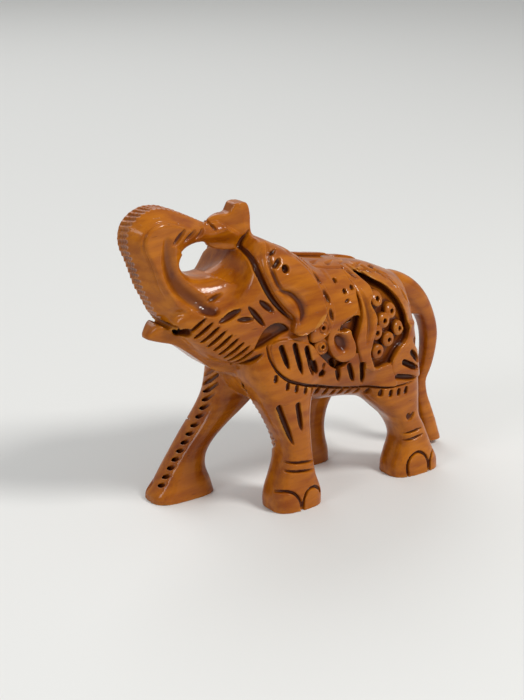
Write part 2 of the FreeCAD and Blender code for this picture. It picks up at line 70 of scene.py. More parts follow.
def smooth_curve(at, knots, values):
    """A smooth curve through (knot, value) pairs, level beyond both ends."""
    knots = np.asarray(knots, float)
    values = np.asarray(values, float)
    slopes = np.gradient(values, knots)
    index = np.clip(np.searchsorted(knots, at) - 1, 0, len(knots) - 2)
    width = knots[index + 1] - knots[index]
    t = np.clip((at - knots[index]) / width, 0, 1)
    rise = values[index + 1] - values[index]
    start, end = slopes[index] * width, slopes[index + 1] * width
    return values[index] + t * (start + t * (3 * rise - 2 * start - end + t * (start + end - 2 * rise)))


def smooth_path(points, count):
    """Evenly spread points on a smooth curve through the given ones."""
    points = np.asarray(points, float)
    lengths = np.linalg.norm(np.diff(points, axis=0), axis=1)
    along = np.concatenate(([0], np.cumsum(lengths)))
    if len(points) < 3:
        return points[0] + np.linspace(0, 1, count)[:, None] * (points[-1] - points[0])
    at = np.linspace(0, along[-1], count)
    return np.stack([smooth_curve(at, along, column) for column in points.T], axis=1)


def closed_curve(points, each=4):
    """A smooth closed outline through the given corners."""
    ring = np.asarray(list(points[-3:]) + list(points) + list(points[:3]), float)
    knots = np.arange(len(ring))
    at = np.arange(3, 3 + len(points), 1 / each)
    return np.stack([smooth_curve(at, knots, column) for column in ring.T], axis=1)


def smooth_min(a, b, blend):
    """The lower of two distances, with a fillet of about that size where they meet."""
    if blend <= 0:
        return np.minimum(a, b)
    mix = np.clip(0.5 + 0.5 * (b - a) / blend, 0, 1)
    return b + (a - b) * mix - blend * mix * (1 - mix)


def smooth_max(a, b, blend):
    """The higher of two distances, with the edge between them rounded."""
    return -smooth_min(-a, -b, blend)


def oval(u, v, half_u, half_v, power):
    """Distance to a rounded oval section."""
    a, b = np.abs(u) / half_u + 1e-4, np.abs(v) / half_v + 1e-4
    ratio = (a**power + b**power) ** (1 / power)
    slope = np.hypot((a / ratio) ** (power - 1) / half_u, (b / ratio) ** (power - 1) / half_v)
    return (ratio - 1) / slope


def polygon(x, z, corners):
    """Signed distance to a closed outline in side view."""
    corners = np.asarray(corners, float)
    best = np.full(np.broadcast(x, z).shape, 1e9)
    inside = np.zeros(best.shape, bool)
    for (ax, az), (bx, bz) in zip(corners, np.roll(corners, -1, axis=0)):
        ex, ez = bx - ax, bz - az
        t = np.clip(((x - ax) * ex + (z - az) * ez) / max(ex * ex + ez * ez, 1e-9), 0, 1)
        best = np.minimum(best, (x - ax - t * ex) ** 2 + (z - az - t * ez) ** 2)
        if ez:
            inside ^= ((az > z) != (bz > z)) & (x < ex * (z - az) / ez + ax)
    return np.where(inside, -1, 1) * np.sqrt(best)


def beside_path(x, z, path):
    """Arc length along a path in side view, and distance off it, plus on the left of its travel."""
    best = np.full(np.broadcast(x, z).shape, 1e9)
    along = np.zeros(best.shape)
    off = np.zeros(best.shape)
    start = 0.0
    for (ax, az), (bx, bz) in zip(path[:-1], path[1:]):
        ex, ez = bx - ax, bz - az
        length = math.hypot(ex, ez)
        t = np.clip(((x - ax) * ex + (z - az) * ez) / length**2, 0, 1)
        dx, dz = x - ax - t * ex, z - az - t * ez
        square = dx * dx + dz * dz
        side = np.where(ex * (z - az) - ez * (x - ax) >= 0, 1, -1)
        nearer = square < best
        best = np.where(nearer, square, best)
        along = np.where(nearer, start + t * length, along)
        off = np.where(nearer, side * np.sqrt(square), off)
        start += length
    return along, off


# ---------------------------------------------------------------- the block


class Block:
    """A block of wood as a distance field on a grid.

    field is all the wood; layers hold the same wood as overlapping parts, the body first, so that a
    relief such as an ear can be taken out as a closed piece that is rooted in the body.
    """

    def __init__(self, low, high, step):
        self.step = step
        self.low = np.array(low, float)
        self.count = np.ceil((np.array(high, float) - self.low) / step).astype(int) + 1
        self.field = np.full(self.count, FAR, np.float32)
        self.layers = {}

    def window(self, low, high):
        """First and last cell between two corners, and the coordinates there."""
        first = np.floor((np.array(low, float) - self.low) / self.step).astype(int)
        last = np.ceil((np.array(high, float) - self.low) / self.step).astype(int) + 1
        first = np.clip(first, 0, self.count - 2)
        last = np.clip(last, first + 1, self.count)
        lines = [
            (self.low[axis] + self.step * np.arange(first[axis], last[axis])).astype(np.float32)
            for axis in range(3)
        ]
        return first, last, lines[0][:, None, None], lines[1][None, :, None], lines[2][None, None, :]

    def add(self, low, high, shape, blend=0.0):
        """Joins a mass to the block; done before finish_masses."""
        first, last, x, y, z = self.window(low, high)
        here = self.field[cells(first, last)]
        here[...] = smooth_min(here, shape(x, y, z).astype(np.float32), blend)

    def sink(self, outline, depth):
        """Lowers the flanks inside an outline in side view, as ground for reliefs."""
        outline = closed_curve(outline)
        low, high = outline.min(axis=0) - 1, outline.max(axis=0) + 1
        near, far = self.low[1], self.low[1] + self.step * self.count[1]
        first, last, x, _, z = self.window((low[0], near, low[1]), (high[0], far, high[1]))
        here = self.field[cells(first, last)]
        tool = smooth_max(polygon(x, z, outline), -(self.ground[cells(first, last)] + depth), 0.2)
        here[...] = np.maximum(here, -tool)

    def finish_masses(self):
        """Keeps the smooth masses as the ground that reliefs are measured from."""
        self.ground = self.field.copy()

    def finish_body(self):
        """Keeps the masses with their sunken fields as the body."""
        self.layers["body"] = (np.zeros(3, int), self.field.copy())

    def relief(self, name, low, high, outline, height, root=1.2, edge=0.5):
        """Raises a flat piece on the body inside an outline in side view.

        height is a number, or a function of place. A name used again grows the same piece.
        """
        first, last, x, y, z = self.window(low, high)
        ground = self.ground[cells(first, last)]
        thick = height(x, y, z) if callable(height) else height
        plate = smooth_max(outline(x, z), ground - thick, edge)
        plate = np.maximum(plate, -(ground + root)).astype(np.float32)
        if name in self.layers:
            layer = self.layers[name][1]
            np.minimum(layer, plate, out=layer)
        else:
            self.layers[name] = (first, plate)
        here = self.field[cells(first, last)]
        here[...] = np.minimum(here, plate)

    def start_carving(self):
        """Keeps the surface from which cuts start, and tells later how deep they are."""
        self.uncarved = np.minimum(self.ground, self.field)
        self.raised = self.field.copy()

    def carve(self, low, high, shape, blend=0.0):
        """Takes a shape out of every layer inside the window."""
        first, last, x, y, z = self.window(low, high)
        tool = -shape(x, y, z).astype(np.float32)
        for start, layer in [(np.zeros(3, int), self.field), *self.layers.values()]:
            a = np.maximum(first, start)
            b = np.minimum(last, start + layer.shape)
            if (b <= a).any():
                continue
            here = layer[cells(a - start, b - start)]
            here[...] = smooth_max(here, tool[cells(a - first, b - first)], blend)

    def skin(self, x, z, side):
        """Where the wood begins when coming in along y at that side."""
        across, up = (x - self.low[0]) / self.step, (z - self.low[2]) / self.step
        i, k = int(across), int(up)
        a, c = across - i, up - k
        near, far = self.raised[i, :, k:k + 2], self.raised[i + 1, :, k:k + 2]
        column = (1 - a) * ((1 - c) * near[:, 0] + c * near[:, 1])
        column = column + a * ((1 - c) * far[:, 0] + c * far[:, 1])
        if side > 0:
            column = column[::-1]
        cell = int(np.argmax(column < 0))
        if cell == 0:
            return None
        place = cell - column[cell] / (column[cell] - column[cell - 1])
        if side > 0:
            place = len(column) - 1 - place
        return self.low[1] + place * self.step

    def gouge(self, points, radii, blend=0.0):
        """Cuts a round stroke through points, one short stretch at a time."""
        points = np.asarray(points, float)
        for a, b, ra, rb in zip(points[:-1], points[1:], radii[:-1], radii[1:]):
            reach = max(ra, rb) + blend + 2 * self.step
            edge = b - a
            square = max(float(edge @ edge), 1e-9)

            def stroke(x, y, z):
                t = (x - a[0]) * edge[0] + (y - a[1]) * edge[1] + (z - a[2]) * edge[2]
                t = np.clip(t / square, 0, 1)
                gap = (x - a[0] - t * edge[0]) ** 2 + (y - a[1] - t * edge[1]) ** 2
                return np.sqrt(gap + (z - a[2] - t * edge[2]) ** 2) - (ra + (rb - ra) * t)

            self.carve(np.minimum(a, b) - reach, np.maximum(a, b) + reach, stroke, blend)

    def score(self, side, line, width, depth, ends=(1.0, 1.0), blend=0.0):
        """Cuts a groove into one side along a line in side view.

        width and depth are measured at the surface; ends are the width at both ends as a share.
        A groove deeper than it is wide is cut in several passes, each with the same round tool.
        """
        line = np.asarray(line, float)
        length = np.linalg.norm(np.diff(line, axis=0), axis=1).sum()
        route = smooth_path(line, max(3, int(length / 0.7) + 2))
        share = np.linspace(0, 1, len(route))
        swell = np.where(share < 0.5, ends[0], ends[1])
        scale = swell + (1 - swell) * np.sin(math.pi * share) ** 0.7
        places = [self.skin(x, z, side) for x, z in route]
        passes = 1 if depth <= width / 2 else 1 + math.ceil((depth / width - 0.5) / 0.6)
        for turn in range(passes):
            points, radii = [], []
            for (x, z), y, k in zip(route, places, scale):
                if y is None:
                    continue
                deep, half = depth * max(k, 0.08), width / 2 * max(k, 0.08)
                radius = half if passes > 1 else (half * half + deep * deep) / (2 * deep)
                under = (deep - radius) * (1 - turn / max(1, passes - 1)) if passes > 1 else deep - radius
                points.append((x, y - side * under, z))
                radii.append(radius)
            if len(points) > 1:
                self.gouge(points, radii, blend)

    def hole(self, side, place, radius, depth):
        """Drills a round-bottomed hole into one side."""
        x, z = place
        y = self.skin(x, z, side)
        if y is not None:
            inner = y - side * (depth - radius)
            self.gouge([(x, y + side * radius, z), (x, inner, z)], [radius, radius])

    def hollow(self, side, outline, depth, blend=0.3, flat=True):
        """Sinks a hollow with an outline in side view, measured from the uncarved surface."""
        outline = closed_curve(outline)
        near, far = self.flank(side)
        (left, bottom), (right, top) = outline.min(axis=0) - 1, outline.max(axis=0) + 1
        low, high = (left, near, bottom), (right, far, top)
        first, last = self.window(low, high)[:2]
        ground = self.uncarved[cells(first, last)]

        def tool(x, y, z):
            edge = polygon(x, z, outline)
            sunk = depth if flat else depth * np.clip(-edge / depth, 0.0, 1.0)
            return np.maximum(edge, -(ground + sunk))

        self.carve(low, high, tool, blend)

    def flank(self, side):
        """The stretch along y that holds one flank."""
        return (self.low[1], -3.0) if side < 0 else (3.0, self.low[1] + self.step * self.count[1])


def cells(first, last):
    """Slices from the first cell up to the last."""
    return tuple(slice(int(a), int(b)) for a, b in zip(first, last))


# ---------------------------------------------------------------- masses


def profiled(top, low, half_width, power, ends):
    """A mass along X from its top line, low line and half width."""

    def shape(x, y, z):
        high = smooth_curve(x, *zip(*top))
        deep = smooth_curve(x, *zip(*low))
        side = smooth_curve(x, *zip(*half_width))
        body = oval(z - (high + deep) / 2, y, (high - deep) / 2, side, power)
        return smooth_max(body, np.maximum(ends[0] - x, x - ends[1]), 0.8)

    return shape


def leg(front, back, middle, half_width, top, power=3.0):
    """A leg along Z from its front and back line, its middle off the centre and half width."""

    def shape(x, y, z):
        ahead = smooth_curve(z, *zip(*front))
        behind = smooth_curve(z, *zip(*back))
        centre = smooth_curve(z, *zip(*middle))
        side = smooth_curve(z, *zip(*half_width))
        body = oval(x - (ahead + behind) / 2, y - centre, (behind - ahead) / 2, side, power)
        return np.maximum(body, np.maximum(0.02 - z, z - top))

    return shape


BARREL_TOP = (
    (-14, 54.5), (-6, 57), (0, 57.6), (9.5, 56), (15.4, 55), (19.8, 54.3), (24.4, 53.1), (29, 51.3),
    (32.2, 49.6), (34.4, 47.5), (36, 43.5), (37.2, 37),
)
BARREL_LOW = (
    (-14, 33), (-10, 27), (-4, 24.5), (4, 22.7), (8.4, 22.4), (14.3, 21.8), (19.8, 20.6), (25, 20),
    (31, 20.5), (34.5, 22.5), (36, 26), (37.2, 31),
)
BARREL_SIDE = (
    (-14, 11), (-8, 13.3), (0, 14.7), (10, 15.2), (18, 15.4), (24, 14.8), (28, 13.4), (31, 11.6),
    (33.6, 8.6), (35.4, 5.6), (36.6, 2.6),
)
HEAD_TOP = (
    (-32, 51.4), (-29.5, 54), (-25, 56.2), (-20.8, 57.0), (-17.6, 57.8), (-15, 59.4), (-12.5, 63.0),
    (-10, 65.6), (-6.8, 64.6), (-3.2, 62.4), (1, 59.4), (6, 55.5),
)
HEAD_LOW = (
    (-32, 49), (-29.8, 46.1), (-26.8, 42.7), (-23.5, 39.4), (-19, 37.5), (-15, 36.3), (-8, 36),
    (6, 39),
)
HEAD_SIDE = (
    (-32, 6.2), (-28, 8.6), (-24, 10.4), (-19, 11.8), (-13, 12.6), (-6, 12.9), (0, 12.9), (6, 12.3),
)
LIP_OUTLINE = (
    (-35.9, 45.2), (-34.8, 47.2), (-33.0, 48.4), (-30.6, 47.4), (-27.2, 45.6), (-22, 46), (-18, 41),
    (-15, 34.5), (-18, 34.6), (-21, 36), (-25.6, 39.9), (-29.7, 43.0), (-33, 44.1),
)
TRUNK_RIDGE = (
    (-29.6, 47.6), (-32.1, 49.1), (-34, 50.9), (-35.5, 53.9), (-37.1, 57), (-38.0, 59.6),
    (-39.3, 63.3), (-40.4, 66.1), (-40.6, 68.8), (-39.7, 71.6), (-37.4, 73.7), (-34.4, 74.8),
    (-30.7, 74.5), (-27, 73), (-23.2, 71.1), (-19.3, 69), (-17.0, 69.2),
)
TRUNK_ROOT = ((-12, 66), (-12, 60), (-18, 50), (-24, 44.6), (-27.5, 45.4))
TRUNK_LOOP = (
    (-13.2, 61.4), (-15.4, 63.2), (-18.9, 64.5), (-22.9, 64.9), (-26.2, 64.0), (-27.8, 61.8),
    (-26.9, 59.6), (-24.7, 58.2), (-20.8, 57.6), (-16.4, 58.6),
)
TRUNK_PATH = (
    (-24, 49), (-28.5, 53.5), (-31.5, 58.5), (-33.2, 64), (-32.6, 68.6), (-28.5, 69.6),
    (-23.2, 67.8), (-19, 66.6), (-13, 66.4),
)
TRUNK_WIDE = (
    (0, 8.2), (8, 7.0), (14, 6.4), (20, 6.0), (25, 5.9), (30, 5.3), (36, 4.4), (41, 3.8), (47, 3.8),
)
TIP_OUTLINE = (
    (-20, 68.2), (-18.4, 70.0), (-16.2, 70.7), (-14.0, 70.7), (-13.0, 72.0), (-12.2, 72.8),
    (-9.2, 72.5), (-8.4, 70.0), (-8.6, 67.0), (-8.4, 64.6), (-9.5, 63.2), (-14, 62.4), (-19, 63.8),
)
TAIL_PATH = (
    (29, 46.4), (33, 46.4), (37, 44.8), (41.3, 41.3), (44.8, 36.2), (46.5, 31), (46.5, 26.5),
    (45.6, 21.8), (44.2, 18), (44.3, 14), (45.4, 10), (46.9, 5), (48.2, 1.2),
)
TAIL_THICK = (
    (0, 3.0), (8, 2.9), (14, 2.7), (20, 2.3), (27, 2.1), (34, 1.7), (38, 1.5), (42, 1.8), (47, 2.2),
    (51, 2.5),
)
TAIL_WEB = ((30, 48), (36, 45.5), (41, 41.5), (44, 37.5), (41.5, 36.6), (37.5, 37.6), (33, 38))


def head_mass(x, y, z):
    """The head; its forehead falls away to both sides under the trunk's loop."""
    body = profiled(HEAD_TOP, HEAD_LOW, HEAD_SIDE, 3.5, (-31.5, 6))(x, y, z)
    crest = smooth_curve(x, *zip(*HEAD_TOP))
    fall = smooth_curve(x, (-32, -18, -13.5, -11), (0.5, 0.5, 0.2, 0.0))
    return smooth_max(body, 0.85 * (z - crest + fall * (np.abs(y) - 1.5)), 1.0)


def trunk_mass(x, y, z):
    """The trunk: a flat-sided curl with a narrow outer ridge and a bevel along both its sides."""
    outline = polygon(x, z, list(TRUNK_RIDGE) + list(TRUNK_ROOT))
    ridge = smooth_path(TRUNK_RIDGE, 60)
    from_ridge = np.abs(beside_path(x, z, ridge)[1])
    from_loop = polygon(x, z, closed_curve(TRUNK_LOOP))
    along = beside_path(x, z, smooth_path(TRUNK_PATH, 50))[0]
    wide = smooth_curve(along, *zip(*TRUNK_WIDE))
    flat = np.abs(y) - wide
    bevel = (3.1 * -from_ridge + 2.4 * (np.abs(y) - 1.9)) / 3.92
    inner = 0.62 * -from_loop + 0.78 * (np.abs(y) - wide + 2.6)
    body = smooth_max(flat, np.maximum(outline, -from_loop), 0.5)
    body = smooth_max(body, bevel, 0.25)
    return smooth_max(body, inner, 2.2)


def tip_mass(x, y, z):
    """The trunk's tip, a small leaf with two faces that meet in an upright edge."""
    outline = polygon(x, z, closed_curve(TIP_OUTLINE, 3))
    edge_line = np.abs((x + 11.2) + 0.12 * (z - 72))
    wide = 2.9 - 0.26 * edge_line - 0.10 * (z - 66)
    return smooth_max(outline, np.abs(y) - wide, 0.5)


def lip_mass(x, y, z):
    """The pointed lower lip and the keel of the throat."""
    wide = smooth_curve(x, (-36, -34, -31, -26, -20, -15), (1.4, 2.6, 3.6, 5.0, 6.2, 7.0))
    keel = smooth_curve(z, (34, 40, 46), (-1.4, -0.4, 0))
    return smooth_max(polygon(x, z, closed_curve(LIP_OUTLINE, 3)), np.abs(y) - wide - keel, 1.2)


def tail_mass(x, y, z):
    """The tail hangs free below a thin web that ties it to the rump."""
    along, off = beside_path(x, z, smooth_path(TAIL_PATH, 50))
    thick = smooth_curve(along, *zip(*TAIL_THICK))
    strand = oval(off, y, thick, thick * 1.05, 2.6)
    strand = np.maximum(strand, 1.2 - z)
    web = smooth_max(polygon(x, z, TAIL_WEB), np.abs(y) - 1.7, 0.6)
    return smooth_min(strand, web, 0.8)


FORELEG_LEFT = leg(
    (
        (0, -9.5), (2, -9.6), (4.5, -9.2), (7.5, -8.1), (12.5, -6.6), (16.3, -7.0), (23, -10.0),
        (29.3, -13.4), (36, -15.6), (42, -14),
    ),
    ((0, 4.0), (3, 4.0), (7.5, 2.6), (12.5, 1.6), (16.3, 1.2), (23, 1.0), (29.3, 2), (36, 4), (42, 5)),
    ((0, -10.0), (12, -9.8), (24, -9.3), (36, -8.6), (42, -8.4)),
    ((0, 5.4), (3, 5.3), (7.5, 4.8), (12.5, 4.7), (23, 5.4), (36, 6.6), (42, 6.0)),
    43,
)
FORELEG_RIGHT = leg(
    (
        (0, -30.4), (1.5, -30.2), (4, -28.2), (7.5, -25.8), (14, -21.0), (17.5, -18.4),
        (20.5, -16.4), (23, -15.0), (29, -13.4), (36, -13),
    ),
    (
        (0, -13.6), (3, -14.4), (7.5, -15.8), (11, -15.2), (14, -13.2), (17.5, -9.2), (20.5, -5.0),
        (23, -2), (29, 1), (36, 4),
    ),
    ((0, 9.8), (12, 9.8), (24, 9.0), (36, 8.6)),
    ((0, 5.2), (4, 4.7), (10, 4.2), (16, 4.6), (23, 5.2), (36, 6.4)),
    42,
)
HINDLEG_LEFT = leg(
    (
        (0, 25.8), (2.6, 26.1), (5.1, 27.0), (9.5, 28.3), (12.4, 27.4), (15.2, 25.6), (18.5, 22.2),
        (21, 19.8), (30, 18), (38, 19),
    ),
    (
        (0, 40.3), (2.6, 40.1), (5.1, 38.9), (9.5, 37.0), (12.4, 35.7), (15.2, 34.2), (18.5, 33.9),
        (21, 33.9), (30, 33.2), (38, 32),
    ),
    ((0, -9.8), (12, -9.4), (24, -8.9), (38, -8.4)),
    ((0, 5.2), (4, 5.1), (9.5, 4.6), (14, 4.8), (21, 5.8), (30, 6.2), (38, 5.6)),
    39,
)
HINDLEG_RIGHT = leg(
    ((0, 9.4), (3, 10.0), (6, 10.8), (12, 11.2), (18, 12), (24, 15), (32, 17)),
    ((0, 20.6), (3, 20.4), (6, 19.6), (12, 19.4), (18, 21.4), (24, 27), (32, 33)),
    ((0, 9.7), (12, 9.5), (24, 8.9), (38, 8.4)),
    ((0, 5.2), (4, 5.0), (9.5, 4.6), (14, 4.8), (21, 5.8), (30, 6.2)),
    36,
)


def rough_out(block):
    """Joins the masses of the figure."""
    block.add((-15, -17, 18), (39, 17, 60), profiled(BARREL_TOP, BARREL_LOW, BARREL_SIDE, 2.6, (-14, 37.4)))
    block.add((-18, -15, 20), (8, 15, 44), profiled(
        ((-15.5, 38), (-12, 41), (0, 42)), ((-15.5, 34), (-11, 27), (-4, 24.3), (2, 23.4), (6, 24)),
        ((-15.5, 6), (-12, 8.5), (-4, 10), (6, 11)), 2.6, (-14.5, 6),
    ), 1.5)
    block.add((-22, -17, -1), (9, 1, 44), FORELEG_LEFT, 1.4)
    block.add((-34, 1, -1), (9, 17, 44), FORELEG_RIGHT, 1.4)
    block.add((12, -17, -1), (44, 1, 42), HINDLEG_LEFT, 1.6)
    block.add((10, 1, -1), (40, 17, 40), HINDLEG_RIGHT, 1.6)
    block.add((-34, -16, 34), (9, 16, 68), head_mass, 1.0)
    block.add((-39, -10, 31), (-10, 10, 52), lip_mass, 1.0)
    block.add((-43, -10, 42), (-10, 10, 77), trunk_mass, 1.0)
    block.add((-22, -7, 60), (-6, 7, 76), tip_mass, 0.6)
    block.add((25, -6, -1), (52, 6, 52), tail_mass, 0.6)


# ---------------------------------------------------------------- reliefs

EAR = (
    (-9.2, 66.0), (-7.6, 65.2), (-4.6, 63.0), (-1.2, 59.8), (1.2, 55.8), (2.7, 52.2), (3.1, 49.4),
    (2.0, 46.9), (-0.6, 44.8), (-3.8, 43.9), (-5.8, 44.8), (-5.0, 47.6), (-7.0, 50.2), (-9.6, 53.8),
    (-11.4, 57.9), (-11.8, 61.4), (-11.0, 64.2),
)
NECK_BAND = (
    (-3.6, 62.6), (-1.4, 61.2), (1.8, 58.2), (4.4, 54.4), (5.9, 50.2), (6.1, 46.8), (4.6, 43.6),
    (2.0, 41.6), (-1.0, 41.6), (-1, 46), (-1, 54), (-5, 60),
)
DRAPE = (
    (1.4, 60), (1.8, 56.5), (1.4, 53.4), (1.6, 51.0), (2.6, 47.4), (3.8, 43.8), (3.4, 41.0),
    (4.4, 38.0), (6.0, 36.0), (8.0, 34.9), (10.2, 35.2), (11.4, 36.6), (11.3, 38.8), (10.4, 40.9),
    (9.8, 42.6), (8.4, 42.4), (6.8, 42.8), (7.2, 44.0), (8.8, 45.0), (10.8, 45.6), (12.4, 46.6),
    (12.9, 48.6), (13.0, 50.0), (13.6, 51.6), (12.8, 53.4), (14.4, 55), (16.8, 56), (10, 60),
)
LEAF_FLAP = (
    (12.2, 55.2), (14.8, 54.8), (16.6, 52.6), (17.8, 51.0), (17.6, 48.9), (16.4, 47.5),
    (17.4, 45.2), (17.7, 43.4), (16.9, 40.4), (16.1, 37.6), (15.7, 35.4), (16.8, 32.6),
    (17.4, 30.6), (14.6, 31.8), (13.0, 34.2), (12.2, 36.8), (11.6, 39.4), (12.6, 42.4), (13.4, 45),
    (13.6, 47.2), (13.4, 49.6), (12.8, 52.2),
)
RINGS = (
    (19.1, 47.9), (22.9, 44.4), (20.3, 42.6), (25.1, 39.7), (17.9, 40.1), (21.6, 37.7),
    (18.4, 35.3),
)
NECK_BEADS = ((2.2, 44.4), (2.3, 39.7))
RUMP_BORDER = (
    (18.0, 54.4), (22.4, 54.6), (26.5, 51.6), (29.6, 47.6), (32.4, 43), (34.6, 38.5), (35.4, 33.5),
    (35.2, 28.4), (33.6, 25.9), (28.8, 26.4), (24.2, 27.6), (22.6, 31.0), (24.6, 34.2),
    (27.8, 36.4), (29.0, 40), (27.2, 45), (23.6, 49.6), (19.6, 52.2),
)
HEM = (
    (-10.9, 42.6), (-11.0, 39.2), (-9.9, 36.4), (-7.2, 34), (-2.8, 31.9), (2.6, 29.9), (8.4, 28.1),
    (12.8, 27.1), (17.3, 26.4), (21.9, 25.6), (24.6, 25.6), (23.6, 29), (22.2, 31.6), (18.4, 31.0),
    (15.6, 34.2), (13, 36.4), (10.8, 36.0), (8.6, 33.6), (5.6, 33.8), (3.0, 36.4), (1.0, 38.4),
    (-0.6, 40.8), (-4.6, 42.6), (-8, 43.2),
)
RING_FIELD = (
    (15.2, 53.4), (19.4, 52.6), (23.6, 49.8), (27.4, 45.2), (29.2, 40.2), (27.8, 36.2),
    (24.4, 34.0), (22.2, 31.2), (18.2, 30.6), (15.8, 33), (15.6, 38), (16.6, 44), (15.6, 48),
)
BEAD_FIELD = (
    (0.4, 50), (3.4, 49), (4.6, 45.2), (6.4, 43.6), (9.4, 44.4), (12.4, 45.4), (14.6, 43),
    (14.2, 39), (13.0, 36.4), (11.4, 35.8), (9.6, 32.8), (6, 32.0), (3.2, 34.4), (1.0, 37.6),
    (-1, 41), (-1.6, 45),
)


def add_reliefs(block):
    """Raises ears, bands, flaps, beads and borders on both flanks."""
    for name, side in SIDES.items():
        near, far = (-17.6, -3) if side < 0 else (3, 17.6)

        def box(low, high):
            return (low[0], near, low[1]), (high[0], far, high[1])

        def lie(outline, each=4):
            smooth = closed_curve(outline, each)
            return lambda x, z: polygon(x, z, smooth)

        def flare(x, y, z):
            across = np.clip((x + 14.5 + 0.35 * (58 - z)) / 19, 0, 1)
            return 0.5 + 2.2 * across**1.2 - 0.9 * np.clip((z - 58) / 9, 0, 1)

        block.relief(f"hem_border_{name}", *box((-13, 23), (27, 46)), lie(HEM, 3), 0.35, 1.6, 0.3)
        block.relief(f"rump_border_{name}", *box((15, 23), (38, 57)), lie(RUMP_BORDER, 3), 0.45, 1.8, 0.4)
        block.relief(f"neck_band_{name}", *box((-7, 38), (9, 66)), lie(NECK_BAND), 1.0, 2.4, 0.8)
        block.relief(f"drape_{name}", *box((-2, 30), (20, 60)), lie(DRAPE, 3), 0.9, 3.4, 0.5)
        block.relief(f"leaf_flap_{name}", *box((9, 28), (21, 58)), lie(LEAF_FLAP, 3), 1.0, 3.4, 0.6)
        block.relief(f"ear_{name}", *box((-17, 38), (8, 71)), lie(EAR), flare, 2.6, 1.0)
        for kind, middles, radius, low, high in (
            ("ring_beads", RINGS, 1.8, (14, 31), (29, 52)),
            ("neck_beads", NECK_BEADS, 2.1, (-1, 36), (6, 48)),
        ):
            for middle in middles:
                def disc(x, z):
                    return np.hypot(x - middle[0], z - middle[1]) - radius

                def dome(x, y, z):
                    away = np.hypot(x - middle[0], z - middle[1]) / radius
                    return 0.5 - 0.55 * away**2

                block.relief(f"{kind}_{name}", *box(low, high), disc, dome, 3.4, 0.3)


# ---------------------------------------------------------------- carving

NOTCH_SLANT = 0.5
TRUNK_CHANNEL = ((-32.6, 68.2), (-31.8, 63.4), (-29.6, 58.6), (-25.8, 54.0), (-23.6, 52.2))
TRUNK_LEAVES = (
    ((-31.2, 66.6), (-27.6, 70.0)), ((-27.9, 66.8), (-24.4, 69.2)), ((-24.2, 66.8), (-21.6, 68.9)),
)
# Start, end, width and depth.
BROW_CUTS = (
    ((-24.6, 53.0), (-19.7, 54.5), 1.1, 0.8),
    ((-23.0, 48.9), (-17.4, 51.6), 1.8, 1.5),
    ((-18.9, 49.2), (-14.4, 48.8), 1.4, 1.1),
    ((-16.0, 52.1), (-11.8, 46.6), 1.5, 1.4),
    ((-13.3, 53.0), (-9.4, 49.5), 1.6, 1.3),
)
HALF_MOON = (
    (-14.2, 41.4), (-13.4, 43.8), (-11.8, 45.9), (-9.6, 46.9), (-7.4, 46.6), (-5.8, 45.0),
    (-8.0, 44.0), (-11.4, 42.4),
)
EAR_FRONT = (
    (-9.4, 66.2), (-11.6, 64.2), (-12.6, 61.4), (-12.3, 57.9), (-10.6, 53.9), (-7.9, 50.2),
    (-5.2, 47.4),
)
EAR_SECOND = (
    (-8.6, 64.8), (-10.0, 62.0), (-9.9, 58.9), (-8.8, 55.8), (-6.6, 53.0),
)
EAR_COMMA = (
    (-9.6, 54.9), (-8.0, 55.2), (-5.4, 54.6), (-3.2, 52.6), (-2.1, 50.2), (-2.4, 47.8),
    (-4.6, 46.2), (-4.5, 48.8), (-5.2, 51.2), (-7.4, 53.2),
)
DRAPE_BOWL = (
    (5.2, 42.2), (4.9, 40.2), (6.2, 37.9), (8.2, 37.2), (9.4, 38.6), (9.0, 41.0), (7.2, 42.4),
)
LEAF_VEIN = ((14.4, 50.8), (15.2, 46.6), (15.2, 42.6), (14.2, 38.4))
COLLAR_CUTS = (
    ((-2.0, 60.6), (0.8, 57.4)), ((1.8, 57.2), (3.8, 53.8)), ((3.6, 52.8), (4.8, 49.4)),
    ((4.4, 48.6), (4.8, 45.4)),
)
HEM_LINE = (
    (-11.8, 43.5), (-11.5, 39.1), (-10.2, 36.3), (-7.4, 33.6), (-3, 31.6), (2.4, 29.6), (8.2, 27.8),
    (12.6, 26.8), (17.1, 26.1), (21.7, 25.3), (26.3, 25.1), (29.6, 25.3),
)
HEM_NOTCHES = (
    (-10.4, 34.4), (-7.4, 32.0), (-4.9, 30.9), (-2.2, 29.9), (0.3, 28.9), (3.0, 27.8), (5.6, 26.9),
    (8.2, 26.1), (10.6, 25.7), (13.0, 25.2), (15.6, 24.8), (18.2, 24.3), (20.6, 23.9), (23.1, 23.5),
    (25.4, 23.4), (27.6, 23.4),
)
FRONT_FLUTES = (
    ((-8.7, 41.5), (-7.2, 36.2)), ((-5.2, 41.4), (-3.6, 34.2)), ((-2.1, 40.2), (-0.4, 33.2)),
)
HEM_FLUTES = (
    ((6.4, 34.9), (7.8, 29.7)), ((10.0, 33.6), (12.2, 28.7)), ((13.6, 33.3), (15.0, 27.6)),
    ((-0.2, 36.4), (0.9, 33.4)),
)
RUMP_FLUTES = (
    ((29.3, 32.8), (32.3, 29.5)), ((26.5, 31.0), (31.7, 28.0)), ((24.5, 27.7), (30.9, 25.9)),
    ((30.8, 35.4), (33.0, 32.4)),
)
RIM_CUTS = (
    ((19.4, 54.9), (21.4, 52.4)), ((22.4, 53.6), (25.0, 50.8)), ((25.6, 51.2), (27.8, 48.0)),
    ((28.6, 47.8), (30.2, 44.4)), ((30.9, 43.9), (32.2, 40.6)), ((32.6, 39.6), (33.4, 36.4)),
)

